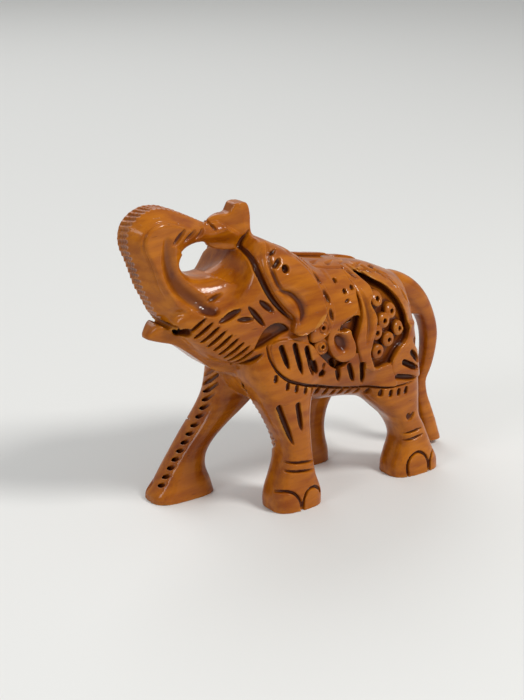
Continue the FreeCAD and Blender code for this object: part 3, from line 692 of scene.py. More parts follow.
LEG_TEARDROPS = ((((-9.4, 27.2), (-5.0, 16.6)), 1.4), (((-4.4, 26.8), (-3.0, 19.8)), 1.5))
ANKLE_LINES = (
    ((-7.6, 12.5), (0.9, 11.4)), ((-7.9, 10.4), (0.8, 9.2)),
    ((28.6, 11.3), (33.6, 11.9)), ((28.8, 9.3), (34.2, 10.2)),
)
NAILS_LEFT = (
    ((-11.0, 0.4), (-10.8, 2.6), (-9.6, 4.7), (-7.4, 5.5), (-5.2, 4.6), (-3.9, 2.6), (-3.5, 0.4)),
    ((-3.1, 0.4), (-2.7, 3.0), (-1.4, 4.7), (0.4, 5.0), (2.1, 3.9), (3.0, 2.2)),
    ((29.3, 0.4), (29.1, 2.8), (30.0, 4.9), (32.2, 5.9), (34.2, 5.0), (35.3, 3.0), (35.5, 0.4)),
    ((36.1, 0.4), (36.1, 2.6), (37.2, 4.6), (39.0, 4.9)),
)
NAILS_RIGHT = (
    ((-30.2, 0.4), (-29.2, 2.6), (-27.0, 4.2), (-24.8, 3.6), (-23.4, 0.4)),
    ((-22.6, 0.4), (-21.8, 3.0), (-19.6, 4.6), (-17.4, 3.4), (-16.8, 0.4)),
    ((9.9, 0.4), (10.4, 2.8), (12.2, 4.2), (13.9, 2.9), (14.3, 0.4)),
    ((14.9, 0.4), (15.4, 2.8), (17.0, 4.0), (18.6, 2.8), (19.0, 0.4)),
)
FORELEG_FRONT_LEFT = (
    (-14.0, 31.4), (-13.2, 29.2), (-11.2, 25.5), (-9.9, 22.6), (-8.0, 18.4), (-6.8, 14.4),
)
FORELEG_FRONT_RIGHT = (
    (-13.4, 32.6), (-13.9, 26.4), (-15.7, 21.6), (-18.4, 17.5), (-21, 14), (-24.2, 9.6), (-28, 4.2),
)


def carve_trunk(block):
    """Rope notches on the ridge, the long channel and three leaf cuts on each side."""
    ridge = smooth_path(TRUNK_RIDGE[1:-1], 400)
    steps = np.linalg.norm(np.diff(ridge, axis=0), axis=1)
    along = np.concatenate(([0], np.cumsum(steps)))
    at = 0.8
    while at < along[-1] - 0.6:
        x, z = (np.interp(at, along, column) for column in ridge.T)
        share = at / along[-1]
        reach = 2.7 - 1.0 * share
        radius = 0.50 + 0.16 * math.sin(math.pi * min(1, share * 1.3)) ** 2
        ahead = [np.interp(at + 0.5, along, column) for column in ridge.T]
        step_x, step_z = (ahead[0] - x) * 2, (ahead[1] - z) * 2
        points = [
            (x - NOTCH_SLANT * step_x * across, reach * across, z - NOTCH_SLANT * step_z * across)
            for across in (-1, -0.5, 0, 0.5, 1)
        ]
        block.gouge(points, [radius * k for k in (0.75, 1, 1.05, 1, 0.75)], 0.12)
        at += 1.52 - 0.35 * share
    inside = [(x + 2.6 * nx, z + 2.6 * nz) for (x, z), (nx, nz) in zip(ridge[::8], inward(ridge)[::8])]
    for side in SIDES.values():
        block.score(side, inside[6:-4], 0.55, 0.35, (0.3, 0.1))
        block.score(side, TRUNK_CHANNEL, 4.4, 0.85, (0.35, 0.5), 0.4)
        for line in TRUNK_LEAVES:
            block.score(side, line, 1.5, 0.9, (0.15, 0.15))
        block.score(side, ((-19.2, 69.6), (-18.2, 67.4)), 0.9, 0.8, (0.9, 0.1))
    block.gouge([(-19.3, -3.4, 69.8), (-19.3, 3.4, 69.8)], [0.6, 0.6], 0.2)


def inward(path):
    """Unit normals on the right of a path's travel."""
    run = np.gradient(path, axis=0)
    run /= np.linalg.norm(run, axis=1)[:, None]
    return np.stack([run[:, 1], -run[:, 0]], axis=1)


def carve_face(block):
    """Mouth, brow cuts, half-moon hollow and the comb of slots on each cheek."""
    block.gouge([(-29.3, -9, 46.9), (-29.3, 9, 46.9)], [1.25, 1.25], 0.3)
    block.gouge([(-31.0, -9, 48.1), (-31.0, 9, 48.1)], [0.6, 0.6], 0.2)
    block.gouge([(-33.6, -6, 49.3), (-30.8, -6, 48.0)], [0.5, 0.6], 0.2)
    for y in np.arange(-6, 6.5, 1.0):
        block.gouge([(-34.6, y, 49.5), (-31.2, y, 48.0)], [0.45, 0.75], 0.2)
    for side in SIDES.values():
        for start, end, width, depth in BROW_CUTS:
            block.score(side, (start, end), width, depth, (0.1, 0.1))
        for slot in range(10):
            share = slot / 9
            low = (-28.8 + 12.1 * share, 47.0 - 9.9 * share)
            high = (-25.3 + 12.6 * share, 50.5 - 9.9 * share)
            block.score(side, (low, high), 1.0, 1.5, (0.7, 0.15))
        block.hollow(side, HALF_MOON, 1.6)


def carve_ears(block):
    """Grooves round the front of each ear, a comma-shaped hollow and three holes."""
    for side in SIDES.values():
        block.score(side, EAR_FRONT, 1.5, 1.6, (0.3, 0.2), 0.2)
        block.score(side, EAR_SECOND, 1.0, 0.7, (0.2, 0.6), 0.2)
        block.hollow(side, EAR_COMMA, 1.0, 0.5, False)
        block.score(side, ((-9.4, 62.6), (-7.4, 63.2)), 1.0, 0.9, (0.8, 0.6))
        block.score(side, ((-9.0, 60.2), (-7.4, 61.4)), 1.4, 1.2, (0.9, 0.5))
        block.hole(side, (-6.6, 59.3), 0.95, 1.5)


def carve_cloth(block):
    """Sunken eyes of the rings, holes and folds of the drape, veins of the flaps."""
    for side in SIDES.values():
        for place in RINGS:
            block.hole(side, place, 0.6, 1.4)
        for x, z in NECK_BEADS:
            block.hole(side, (x, z), 0.5, 1.3)
            turn = np.linspace(0, 2 * math.pi, 15)
            block.score(side, [(x + 1.25 * math.cos(a), z + 1.25 * math.sin(a)) for a in turn], 0.5, 0.35)
        block.hollow(side, DRAPE_BOWL, 1.3, 0.3, False)
        block.score(side, ((6.2, 43.2), (8.6, 43.7), (11.4, 44.2)), 1.2, 1.2, (0.3, 0.9))
        block.score(side, ((2.6, 56.4), (2.4, 51.6), (3.2, 47.0), (4.2, 43.4)), 0.7, 0.45, (0.1, 0.1))
        for place in ((8.4, 53.6), (9.8, 51.2), (12.2, 51.6)):
            block.hole(side, place, 0.6, 1.1)
        block.score(side, ((9.0, 49.0), (10.6, 49.4)), 0.8, 0.8, (0.3, 0.3))
        block.score(side, LEAF_VEIN, 1.7, 0.6, (0.2, 0.2), 0.3)
        block.score(side, ((13.2, 55.4), (15.0, 52.8)), 1.2, 0.9, (0.3, 0.1))
        block.score(side, ((16.4, 55.0), (17.8, 52.4)), 1.0, 0.8, (0.3, 0.1))
        for line in COLLAR_CUTS:
            block.score(side, line, 1.1, 0.7, (0.3, 0.1))
        for line in RIM_CUTS:
            block.score(side, line, 0.95, 0.6, (0.4, 0.1))


def carve_hem(block):
    """The groove over the hem, teardrop flutes above it and nicks below it."""
    for side in SIDES.values():
        block.score(side, HEM_LINE, 0.9, 1.2, (0.4, 0.3))
        for line in FRONT_FLUTES:
            block.score(side, line, 1.6, 1.7, (0.95, 0.1))
        for line in HEM_FLUTES:
            block.score(side, line, 1.5, 1.5, (0.9, 0.1))
        for line in RUMP_FLUTES:
            block.score(side, line, 1.7, 1.5, (0.9, 0.1))
        block.hole(side, (2.5, 33.0), 0.95, 1.5)
        block.score(side, ((2.6, 34.4), (2.9, 35.8)), 0.9, 0.7, (0.8, 0.1))
        for x, z in HEM_NOTCHES:
            block.score(side, ((x, z + 0.6), (x - 0.15, z - 0.9)), 1.2, 1.1, (0.9, 0.3))


def carve_legs(block):
    """Teardrops, ankle lines, toenails and the notched front edges."""
    for line, width in LEG_TEARDROPS:
        block.score(-1, line, width, 1.5, (1, 0.08))
    for line in ANKLE_LINES:
        block.score(-1, line, 0.8, 0.9, (0.3, 0.3))
    for arc in NAILS_LEFT:
        block.score(-1, arc, 0.75, 0.9)
    block.score(-1, ((29.0, 16.4), (29.8, 15.0)), 1.5, 0.9, (0.9, 0.2))
    block.score(-1, ((30.4, 16.6), (29.8, 15.0)), 1.1, 0.8, (0.9, 0.2))
    for arc in NAILS_RIGHT:
        block.score(1, arc, 0.6, 0.55)
    block.score(1, ((-22.0, 22.8), (-16.2, 15.8)), 0.4, 0.4)
    for x, z in smooth_path(FORELEG_FRONT_LEFT, 13):
        notch = [(x + 0.3, -9.0, z + 1.4), (x + 0.2, -6.6, z), (x + 1.4, -5.0, z - 1.2)]
        block.gouge(notch, [0.3, 0.75, 0.6], 0.15)
    for x, z in smooth_path(FORELEG_FRONT_RIGHT, 15):
        notch = [(x + 1.0, 5.8, z + 2.0), (x + 0.2, 8.2, z), (x + 0.2, 11.2, z - 2.0)]
        block.gouge(notch, [0.4, 0.6, 0.4], 0.15)


def carve_back(block):
    """Leaf cuts along the top of the cloth and the spine."""
    for side in SIDES.values():
        for x in (1.6, 5.8, 10.0, 14.2, 18.4, 22.6):
            place = top_of(block, x, side * 6.2)
            end = top_of(block, x + 2.8, side * 4.2)
            if place and end:
                block.gouge([place, end], [0.75, 0.2], 0.15)
        line = [top_of(block, x, side * 8.0) for x in np.arange(1.0, 27.5, 1.5)]
        line = [point for point in line if point]
        block.gouge(line, [0.42] * len(line), 0.15)


def top_of(block, x, y):
    """The highest point of the wood over a place, in the middle of the barrel."""
    column = block.field[
        int(round((x - block.low[0]) / block.step)), int(round((y - block.low[1]) / block.step)), ::-1
    ]
    cell = int(np.argmax(column < 0))
    if cell == 0:
        return None
    return (x, y, block.low[2] + (len(column) - 1 - cell) * block.step + 0.2)


# Corners of the block and the spacing of its grid.
BLOCK_LOW, BLOCK_HIGH = (-42.5, -18.3, -1.2), (51.5, 18.3, 77)
QUICK_STEP, FULL_STEP = 0.36, 0.21
RING_FIELD_DEPTH, BEAD_FIELD_DEPTH = 1.8, 1.9

_CARVED = []


def carved_block():
    """The finished block; carved once and kept for every piece."""
    if _CARVED:
        return _CARVED[0]
    step = FULL_STEP
    block = Block(BLOCK_LOW, BLOCK_HIGH, step)
    rough_out(block)
    block.finish_masses()
    block.sink(RING_FIELD, RING_FIELD_DEPTH)
    block.sink(BEAD_FIELD, BEAD_FIELD_DEPTH)
    block.finish_body()
    add_reliefs(block)
    block.start_carving()
    carve_trunk(block)
    carve_face(block)
    carve_ears(block)
    carve_cloth(block)
    carve_hem(block)
    carve_legs(block)
    carve_back(block)
    block.cavity = crowding(block)
    _CARVED.append(block)
    return block


CROWDING_REACH = 0.6


def crowding(block):
    """How much wood lies round each place, less one half: high in cuts, low on sharp edges."""
    filled = (block.field < 0).astype(np.float32)
    reach = max(1, int(round(CROWDING_REACH / block.step)))
    for _ in range(2):
        for axis in range(3):
            total = np.cumsum(filled, axis=axis)
            ahead = np.roll(total, -reach, axis=axis)
            behind = np.roll(total, reach + 1, axis=axis)
            filled = (ahead - behind) / (2 * reach + 1)
    return np.clip(filled, 0, 1) - 0.5


# ---------------------------------------------------------------- meshes


def sample(block, grid, points):
    """A grid's value at each point, by trilinear interpolation."""
    place = (points - block.low) / block.step
    base = np.clip(np.floor(place).astype(int), 0, np.array(grid.shape) - 2)
    part = place - base
    value = np.zeros(len(points))
    for corner in range(8):
        bits = [(corner >> axis) & 1 for axis in range(3)]
        weight = np.prod([part[:, a] if bits[a] else 1 - part[:, a] for a in range(3)], axis=0)
        i, j, k = (base[:, a] + bits[a] for a in range(3))
        value += weight * grid[i, j, k]
    return value


def surface(block, first, layer):
    """Vertices and faces of a layer's surface."""
    padded = np.pad(np.clip(layer, -FAR, FAR), 2, constant_values=FAR)
    grid = openvdb.FloatGrid(background=FAR)
    grid.copyFromArray(padded)
    points, triangles, quads = grid.convertToPolygons(isovalue=0.0, adaptivity=0.0)
    points = (points - 2 + first) * block.step + block.low
    return points, [face[::-1] for face in quads.tolist() + triangles.tolist()]


def to_bmesh(points, faces):
    """A mesh of metres in the frame, from block places."""
    mesh = bpy.data.meshes.new("wood")
    mesh.from_pydata(((points + (NECK, 0, 0)) * MM).tolist(), [], faces)
    mesh.validate()
    shape = bmesh.new()
    shape.from_mesh(mesh)
    bpy.data.meshes.remove(mesh)
    return shape


def halve(shape, point, normal):
    """Splits a closed mesh at a plane into the part behind and the part ahead."""
    place = Vector(((point[0] + NECK) * MM, point[1] * MM, point[2] * MM))
    facing = Vector(normal).normalized()
    parts = []
    for keep_ahead in (False, True):
        part = shape.copy()
        cut = bmesh.ops.bisect_plane(
            part, geom=part.verts[:] + part.edges[:] + part.faces[:], dist=1e-7, plane_co=place,
            plane_no=facing, clear_inner=keep_ahead, clear_outer=not keep_ahead,
        )
        rim = [item for item in cut["geom_cut"] if isinstance(item, bmesh.types.BMEdge)]
        if rim:
            bmesh.ops.triangle_fill(
                part, use_beauty=True, use_dissolve=False, edges=rim,
                normal=facing * (-1 if keep_ahead else 1),
            )
            for edge in rim:
                if edge.is_valid:
                    edge.smooth = False
        parts.append(part)
    shape.free()
    return parts


def loose_parts(shape):
    """Splits a mesh into its connected parts."""
    seen = set()
    groups = []
    for vert in shape.verts:
        if vert.index in seen:
            continue
        stack, members = [vert], []
        seen.add(vert.index)
        while stack:
            here = stack.pop()
            members.append(here.index)
            for edge in here.link_edges:
                other = edge.other_vert(here)
                if other.index not in seen:
                    seen.add(other.index)
                    stack.append(other)
        groups.append(members)
    return groups


def make_piece(block, name, shape, nodes, material):
    """A finished piece from a closed mesh of metres, with its carving depth and crowding stored."""
    for face in shape.faces:
        face.smooth = True
    mesh = bpy.data.meshes.new(name)
    shape.to_mesh(mesh)
    shape.free()
    flat = np.empty(len(mesh.vertices) * 3)
    mesh.vertices.foreach_get("co", flat)
    places = flat.reshape(-1, 3) / MM - (NECK, 0, 0)
    depth = np.clip(-sample(block, block.uncarved, places), 0, 3)
    crowd = sample(block, block.cavity, places)
    for label, values in (("carved", depth), ("crowding", crowd)):
        attribute = mesh.attributes.new(label, "FLOAT", "POINT")
        attribute.data.foreach_set("value", values.astype(np.float32))
    mesh.materials.append(material)
    piece = bpy.data.objects.new(name, mesh)
    bpy.context.scene.collection.objects.link(piece)
    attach(piece, "root")
    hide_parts(*nodes)
    return piece


# Where the body is parted, as a tree: a plane's point and normal, then what lies behind and ahead.
PARTING = (
    ((0, 0, 19.5), (0, 0, 1)),
    (
        ((9.5, 0, 5), (1, 0, 0)),
        (((-10, 0, 5), (0, 1, 0)), "foreleg_left", "foreleg_right"),
        (
            ((41.9, 0, 5), (1, 0, 0)),
            (((30, 0, 5), (0, 1, 0)), "hindleg_left", "hindleg_right"),
            "tail_tuft",
        ),
    ),
    (
        ((0, 0, 40), (1, 0, 0)),
        (
            ((-8, 0, 36.4), (0, 0, 1)),
            "chest",
            (
                ((-24.7, 0, 58.3), (14.3, 0, -3.8)),
                (
                    ((-29.3, 0, 46.9), (2.8, 0, 5.7)),
                    "lower_lip",
                    (((-25.6, 0, 64.0), (6.0, 0, 14.4)), "trunk_root", "trunk_curl"),
                ),
                (((-19, 0, 63.3), (-2.7, 0, 9.5)), "head", "trunk_tip"),
            ),
        ),
        (((33, 0, 49.5), (12.5, 0, 4.3)), "barrel", "tail"),
    ),
)

_PARTS = {}


def part_body(block):
    """Parts the body's surface into its members; done once."""
    if _PARTS:
        return _PARTS
    first, layer = block.layers["body"]
    points, faces = surface(block, first, layer)
    whole = to_bmesh(points, faces)

    def descend(shape, branch):
        if isinstance(branch, str):
            _PARTS[branch] = shape
            return
        (point, normal), behind, ahead = branch
        lower, upper = halve(shape, point, normal)
        descend(lower, behind)
        descend(upper, ahead)

    descend(whole, PARTING)
    return _PARTS


def body_piece(name, nodes, material="lacquered_wood"):
    """Takes one member of the body as a piece."""
    block = carved_block()
    shape = part_body(block)[name]
    return make_piece(block, f"{name}_carved", shape, nodes, wood(material))


def relief_pieces(kind, material="carved_cloth"):
    """Takes a relief on both flanks as pieces."""
    block = carved_block()
    for side in SIDES:
        first, layer = block.layers[f"{kind}_{side}"]
        shape = to_bmesh(*surface(block, first, layer))
        drop_crumbs(shape)
        make_piece(block, f"{kind}_{side}_carved", shape, [f"{kind}_{side}"], wood(material))


# A loose part with fewer vertices than this is a sliver.
CRUMB = 40


def drop_crumbs(shape):
    """Removes slivers that a cut left floating."""
    for members in loose_parts(shape):
        if len(members) < CRUMB:
            bmesh.ops.delete(shape, geom=[shape.verts[index] for index in members], context="VERTS")
            shape.verts.ensure_lookup_table()
            shape.verts.index_update()
            return drop_crumbs(shape)


# ---------------------------------------------------------------- material


_WOODS = {}


def wood(name):
    """Lacquered wood: streaked grain, dark lacquer in the cuts that is partly real and partly painted
    shade, painted shade in hollows, worn pale edges, a clear coat.
    """
    if name in _WOODS:
        return _WOODS[name]
    settings = bpy.context.scene.elephant_finish
    material = _WOODS[name] = bpy.data.materials.get(name) or bpy.data.materials.new(name)
    material.use_nodes = True
    tree = material.node_tree
    tree.nodes.clear()
    link = tree.links.new

    def add(kind, **values):
        item = tree.nodes.new(kind)
        for key, value in values.items():
            setattr(item, key, value)
        return item

    def number(operation, first, second=None, clamp=False):
        item = add("ShaderNodeMath", operation=operation, use_clamp=clamp)
        for socket, value in zip(item.inputs, (first, second)):
            if value is None:
                continue
            if isinstance(value, (int, float)):
                socket.default_value = value
            else:
                link(value, socket)
        return item.outputs[0]

    def blend(factor, first, second, kind="MIX"):
        item = add("ShaderNodeMix", data_type="RGBA", blend_type=kind, clamp_factor=True)
        for socket, value in ((item.inputs[0], factor), (item.inputs[6], first), (item.inputs[7], second)):
            if isinstance(value, bpy.types.NodeSocket):
                link(value, socket)
            elif isinstance(value, (int, float)):
                socket.default_value = value
            else:
                socket.default_value = (*value, 1)
        return item.outputs[2]

    def ramp(value, low, high):
        item = add("ShaderNodeMapRange", clamp=True, interpolation_type="SMOOTHSTEP")
        link(value, item.inputs[0])
        item.inputs[1].default_value = low
        item.inputs[2].default_value = high
        return item.outputs[0]

    coordinates = add("ShaderNodeTexCoord")
    spread = add("ShaderNodeMapping")
    spread.inputs["Rotation"].default_value = (0.03, 0.10, 0.05)
    link(coordinates.outputs["Object"], spread.inputs["Vector"])

    def noise(scale, stretch, detail, roughness=0.55):
        place = add("ShaderNodeMapping")
        place.inputs["Scale"].default_value = stretch
        link(spread.outputs[0], place.inputs["Vector"])
        item = add("ShaderNodeTexNoise")
        link(place.outputs[0], item.inputs["Vector"])
        item.inputs["Scale"].default_value = scale
        item.inputs["Detail"].default_value = detail
        item.inputs["Roughness"].default_value = roughness
        return item.outputs["Fac"]

    carved = add("ShaderNodeAttribute", attribute_name="carved").outputs["Fac"]
    crowd = add("ShaderNodeAttribute", attribute_name="crowding").outputs["Fac"]
    streaks = noise(420, (0.16, 1, 1), 5)
    fibres = noise(1500, (0.07, 1, 1), 3)
    patches = noise(55, (0.6, 1, 1), 3)
    pores = noise(2600, (0.10, 1, 1), 2, 0.4)
    blotches = noise(150, (1, 1, 1), 4)

    pale, deep, stain_and_shade = settings.pale_wood, settings.deep_wood, settings.stain_and_shade_colour
    streaked = number("MULTIPLY", ramp(streaks, 0.32, 0.68), 0.55)
    tone = number("ADD", streaked, number("MULTIPLY", ramp(patches, 0.3, 0.7), 0.45))
    colour = blend(tone, deep, pale)
    colour = blend(number("MULTIPLY", ramp(fibres, 0.56, 0.74), 0.28), colour, deep)
    colour = blend(number("MULTIPLY", ramp(pores, 0.66, 0.78), 0.45), colour, stain_and_shade)
    # Dark lacquer gathers in the cuts, and less evenly in wide hollows; where a cut is hemmed in, this
    # darkening is painted shade as well as real lacquer.
    hemmed_in = number("ADD", ramp(crowd, -0.02, 0.16), 0.62)
    cut_stain_and_shade = number("MULTIPLY", ramp(carved, 0.10, 1.15), hemmed_in, True)
    # Painted shade: hollows hemmed in by wood are darkened, whether carved or not.
    painted_shade_in_hollows = number("MULTIPLY", ramp(crowd, 0.10, 0.32), 0.8)
    stain_and_shade_mask = number("MAXIMUM", cut_stain_and_shade, painted_shade_in_hollows)
    stain_and_shade_mask = number("MULTIPLY", stain_and_shade_mask, number("ADD", number("MULTIPLY", blotches, 0.5), 0.72), True)
    # Dark lacquer and painted shade are laid on here in one colour.
    colour = blend(stain_and_shade_mask, colour, stain_and_shade)
    # Edges are rubbed pale.
    rubbed = number("MULTIPLY", ramp(number("MULTIPLY", crowd, -1), 0.10, 0.30), ramp(blotches, 0.35, 0.65))
    colour = blend(number("MULTIPLY", rubbed, 0.45), colour, settings.rubbed_edge)

    shader = add("ShaderNodeBsdfPrincipled")
    link(colour, shader.inputs["Base Color"])
    shader.inputs["IOR"].default_value = 1.5
    shader.inputs["Specular IOR Level"].default_value = 0.1
    shader.inputs["Coat Weight"].default_value = settings.lacquer
    shader.inputs["Coat Roughness"].default_value = 0.09
    shader.inputs["Coat IOR"].default_value = 1.45
    rough = number("ADD", number("MULTIPLY", blotches, 0.22), 0.26)
    rough = number("ADD", rough, number("MULTIPLY", stain_and_shade_mask, 0.15))
    link(rough, shader.inputs["Roughness"])
    relief = number("ADD", number("MULTIPLY", fibres, 0.5), number("MULTIPLY", blotches, 1.4))
    relief = number("SUBTRACT", relief, number("MULTIPLY", ramp(pores, 0.66, 0.78), 0.8))
    bump = add("ShaderNodeBump")
    bump.inputs["Strength"].default_value = 0.35
    bump.inputs["Distance"].default_value = 0.00012
    link(relief, bump.inputs["Height"])
    link(bump.outputs[0], shader.inputs["Normal"])
    link(bump.outputs[0], shader.inputs["Coat Normal"])
    output = add("ShaderNodeOutputMaterial")
    link(shader.outputs[0], output.inputs["Surface"])
    return material


# ---------------------------------------------------------------- the add-on


class ElephantFinish(bpy.types.PropertyGroup):
    """Colours and gloss of the lacquered wood."""

    pale_wood: bpy.props.FloatVectorProperty(
        name="Pale wood", description="Colour of the light streaks", subtype="COLOR",
        default=(0.46, 0.140, 0.002), min=0, max=1,
    )
    deep_wood: bpy.props.FloatVectorProperty(
        name="Deep wood", description="Colour of the dark streaks", subtype="COLOR",
        default=(0.22, 0.042, 0.001), min=0, max=1,
    )
    # Also the colour of the painted shade in cuts and hollows.
    stain_and_shade_colour: bpy.props.FloatVectorProperty(
        name="Stain in cuts", description="Colour of the lacquer gathered in cuts", subtype="COLOR",
        default=(0.075, 0.013, 0.001), min=0, max=1,
    )
    rubbed_edge: bpy.props.FloatVectorProperty(
        name="Rubbed edges", description="Colour of edges worn by handling", subtype="COLOR",
        default=(0.58, 0.26, 0.03), min=0, max=1,
    )
    lacquer: bpy.props.FloatProperty(
        name="Lacquer", description="Strength of the clear coat", subtype="FACTOR",
        default=0.5, min=0, max=1,
    )


class ElephantStage(bpy.types.PropertyGroup):
    """Floor and camera."""

    floor_size: bpy.props.FloatProperty(
        name="Floor size", description="Side of the pale floor", subtype="DISTANCE", unit="LENGTH",
        default=6.0, min=0.5,
    )
    lens: bpy.props.FloatProperty(
        name="Lens", description="Focal length in millimetres", default=77.57, min=10,
    )
    camera_place: bpy.props.FloatVectorProperty(
        name="Camera place", description="Where the camera stands", subtype="TRANSLATION",
        unit="LENGTH", default=(-0.1953, -0.2780, 0.1542),
    )
    camera_target: bpy.props.FloatVectorProperty(
        name="Camera target", description="What the camera looks at", subtype="TRANSLATION",
        unit="LENGTH", default=(-0.00065, 0.0, 0.034),
    )


class ELEPHANT_OT_barrel(bpy.types.Operator):
    """Carves the barrel with its saddle cloth."""

    bl_idname = "elephant.barrel"
    bl_label = "Barrel"

    def execute(self, context):
        body_piece("barrel", ["barrel", "saddle_cloth"], "carved_cloth")
        return {"FINISHED"}


class ELEPHANT_OT_head(bpy.types.Operator):
    """Carves the head, its cheeks, lip and chest."""

    bl_idname = "elephant.head"
    bl_label = "Head"

    def execute(self, context):
        body_piece("head", ["head", "cheek_comb_left", "cheek_comb_right"])
        body_piece("lower_lip", ["lower_lip"])
        body_piece("chest", ["chest"])
        return {"FINISHED"}


class ELEPHANT_OT_trunk(bpy.types.Operator):
    """Carves the curled trunk."""

    bl_idname = "elephant.trunk"
    bl_label = "Trunk"

    def execute(self, context):
        body_piece("trunk_root", ["trunk_root"])
        body_piece("trunk_curl", ["trunk_curl"])
        body_piece("trunk_tip", ["trunk_tip"])
        return {"FINISHED"}


class ELEPHANT_OT_legs(bpy.types.Operator):
    """Carves the four legs and their toenails."""

    bl_idname = "elephant.legs"
    bl_label = "Legs"

    def execute(self, context):
        body_piece("foreleg_left", ["foreleg_left", "foreleg_nails_left"])
        body_piece("foreleg_right", ["foreleg_right", "foreleg_nails_right"])
        body_piece("hindleg_left", ["hindleg_left", "hindleg_nails_left"])
        body_piece("hindleg_right", ["hindleg_right", "hindleg_nails_right"])
        return {"FINISHED"}


class ELEPHANT_OT_tail(bpy.types.Operator):
    """Carves the tail and its brush."""

    bl_idname = "elephant.tail"
    bl_label = "Tail"

    def execute(self, context):
        body_piece("tail", ["tail"])
        body_piece("tail_tuft", ["tail_tuft"])
        return {"FINISHED"}


class ELEPHANT_OT_ears(bpy.types.Operator):
    """Raises the ears."""

    bl_idname = "elephant.ears"
    bl_label = "Ears"

    def execute(self, context):
        relief_pieces("ear", "lacquered_wood")
        return {"FINISHED"}


class ELEPHANT_OT_neck_bands(bpy.types.Operator):
    """Raises the bands behind the ears."""

    bl_idname = "elephant.neck_bands"
    bl_label = "Neck bands"

    def execute(self, context):
        relief_pieces("neck_band")
        return {"FINISHED"}


class ELEPHANT_OT_drapes(bpy.types.Operator):
    """Raises the hooked drapes."""

    bl_idname = "elephant.drapes"
    bl_label = "Drapes"

    def execute(self, context):
        relief_pieces("drape")
        return {"FINISHED"}


class ELEPHANT_OT_leaf_flaps(bpy.types.Operator):
    """Raises the leaf-shaped flaps."""

    bl_idname = "elephant.leaf_flaps"
    bl_label = "Leaf flaps"

    def execute(self, context):
        relief_pieces("leaf_flap")
        return {"FINISHED"}


class ELEPHANT_OT_beads(bpy.types.Operator):
    """Raises the ring beads on the cloth and at the neck."""

    bl_idname = "elephant.beads"
    bl_label = "Beads"

    def execute(self, context):
        relief_pieces("ring_beads")
        relief_pieces("neck_beads")
        return {"FINISHED"}


class ELEPHANT_OT_borders(bpy.types.Operator):
    """Raises the borders of hem and rump."""

    bl_idname = "elephant.borders"
    bl_label = "Borders"

    def execute(self, context):
        relief_pieces("hem_border")
        relief_pieces("rump_border")
        return {"FINISHED"}


class ELEPHANT_OT_stage(bpy.types.Operator):
    """Lays the floor, hangs the lights and sets up the camera."""

    bl_idname = "elephant.stage"
    bl_label = "Stage"

    def execute(self, context):
        lay_floor(context)
        hang_lights(context)
        place_camera(context)
        return {"FINISHED"}


def lay_floor(context):
    """A plain pale floor."""
    half = context.scene.elephant_stage.floor_size / 2
    mesh = bpy.data.meshes.new("floor")
    corners = [(-half, -half, 0), (half, -half, 0), (half, half, 0), (-half, half, 0)]
    mesh.from_pydata(corners, [], [(0, 1, 2, 3)])
    floor = bpy.data.objects.new("floor", mesh)
    context.scene.collection.objects.link(floor)
    material = bpy.data.materials.new("pale_floor")
    material.use_nodes = True
    shader = material.node_tree.nodes["Principled BSDF"]
    shader.inputs["Base Color"].default_value = (0.715, 0.72, 0.71, 1)
    shader.inputs["Roughness"].default_value = 0.55
    shader.inputs["Specular IOR Level"].default_value = 0.3
    mesh.materials.append(material)


def hang_lights(context):
    """A soft window high on the right, a broad fill from the left, and a pale room."""
    context.scene.view_settings.view_transform = "Standard"
    world = bpy.data.worlds.new("room")
    world.use_nodes = True
    world.node_tree.nodes["Background"].inputs["Color"].default_value = (1.0, 1.0, 0.985, 1)
    world.node_tree.nodes["Background"].inputs["Strength"].default_value = 0.44
    context.scene.world = world
    for name, place, size, power, colour in (
        ("window", (0.28, -0.50, 0.62), 0.22, 4.6, (1.0, 0.985, 0.96)),
        ("left_fill", (-0.75, -0.15, 0.50), 0.30, 1.3, (0.96, 0.98, 1.0)),
        ("back_glow", (0.1, 0.7, 0.7), 0.8, 3.0, (1.0, 1.0, 1.0)),
    ):
        lamp = bpy.data.lights.new(name, "AREA")
        lamp.shape = "DISK"
        lamp.size = size
        lamp.energy = power
        lamp.color = colour
        holder = bpy.data.objects.new(name, lamp)
        holder.location = place
        holder.rotation_euler = (Vector((0, 0, 0.03)) - Vector(place)).to_track_quat("-Z", "Y").to_euler()
        context.scene.collection.objects.link(holder)


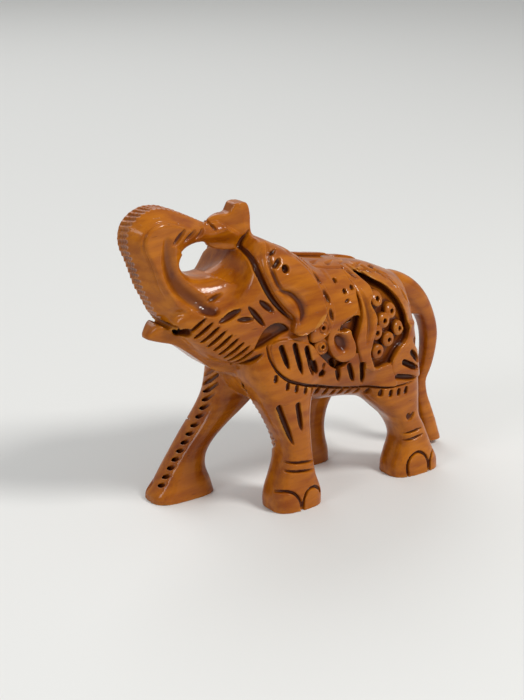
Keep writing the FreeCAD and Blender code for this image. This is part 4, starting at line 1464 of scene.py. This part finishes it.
def place_camera(context):
    """The camera, with the figure a little above and right of the middle of the view."""
    stage = context.scene.elephant_stage
    lens = bpy.data.cameras.new("camera")
    lens.sensor_fit = "VERTICAL"
    lens.sensor_height = 36
    lens.lens = stage.lens
    camera = bpy.data.objects.new("camera", lens)
    camera.location = stage.camera_place
    toward = Vector(stage.camera_target) - Vector(stage.camera_place)
    camera.rotation_euler = toward.to_track_quat("-Z", "Y").to_euler()
    lens.shift_x = -0.0417
    lens.shift_y = 0.0014
    lens.clip_start = 0.01
    lens.clip_end = 20
    context.scene.collection.objects.link(camera)
    context.scene.camera = camera


class ELEPHANT_PT_panel(bpy.types.Panel):
    """Lists the finish, the stage and every operator."""

    bl_idname = "ELEPHANT_PT_panel"
    bl_label = "Carved Elephant"
    bl_space_type = "VIEW_3D"
    bl_region_type = "UI"
    bl_category = "Elephant"

    def draw(self, context):
        for group in (context.scene.elephant_finish, context.scene.elephant_stage):
            box = self.layout.box()
            for key in group.bl_rna.properties.keys():
                if key not in ("rna_type", "name"):
                    box.prop(group, key)
        for operator in OPERATORS:
            self.layout.operator(operator.bl_idname)


OPERATORS = (
    ELEPHANT_OT_barrel,
    ELEPHANT_OT_head,
    ELEPHANT_OT_trunk,
    ELEPHANT_OT_legs,
    ELEPHANT_OT_tail,
    ELEPHANT_OT_ears,
    ELEPHANT_OT_neck_bands,
    ELEPHANT_OT_drapes,
    ELEPHANT_OT_leaf_flaps,
    ELEPHANT_OT_beads,
    ELEPHANT_OT_borders,
    ELEPHANT_OT_stage,
)
CLASSES = (ElephantFinish, ElephantStage, *OPERATORS, ELEPHANT_PT_panel)


def register():
    """Adds the classes and the scene's settings."""
    for item in CLASSES:
        bpy.utils.register_class(item)
    bpy.types.Scene.elephant_finish = bpy.props.PointerProperty(type=ElephantFinish)
    bpy.types.Scene.elephant_stage = bpy.props.PointerProperty(type=ElephantStage)


def unregister():
    """Takes the classes and settings out again."""
    del bpy.types.Scene.elephant_stage
    del bpy.types.Scene.elephant_finish
    for item in reversed(CLASSES):
        bpy.utils.unregister_class(item)


def main():
    """Makes every piece and the stage."""
    register()
    for operator in OPERATORS:
        group, name = operator.bl_idname.split(".")
        getattr(getattr(bpy.ops, group), name)()


if __name__ == "__main__":
    main()
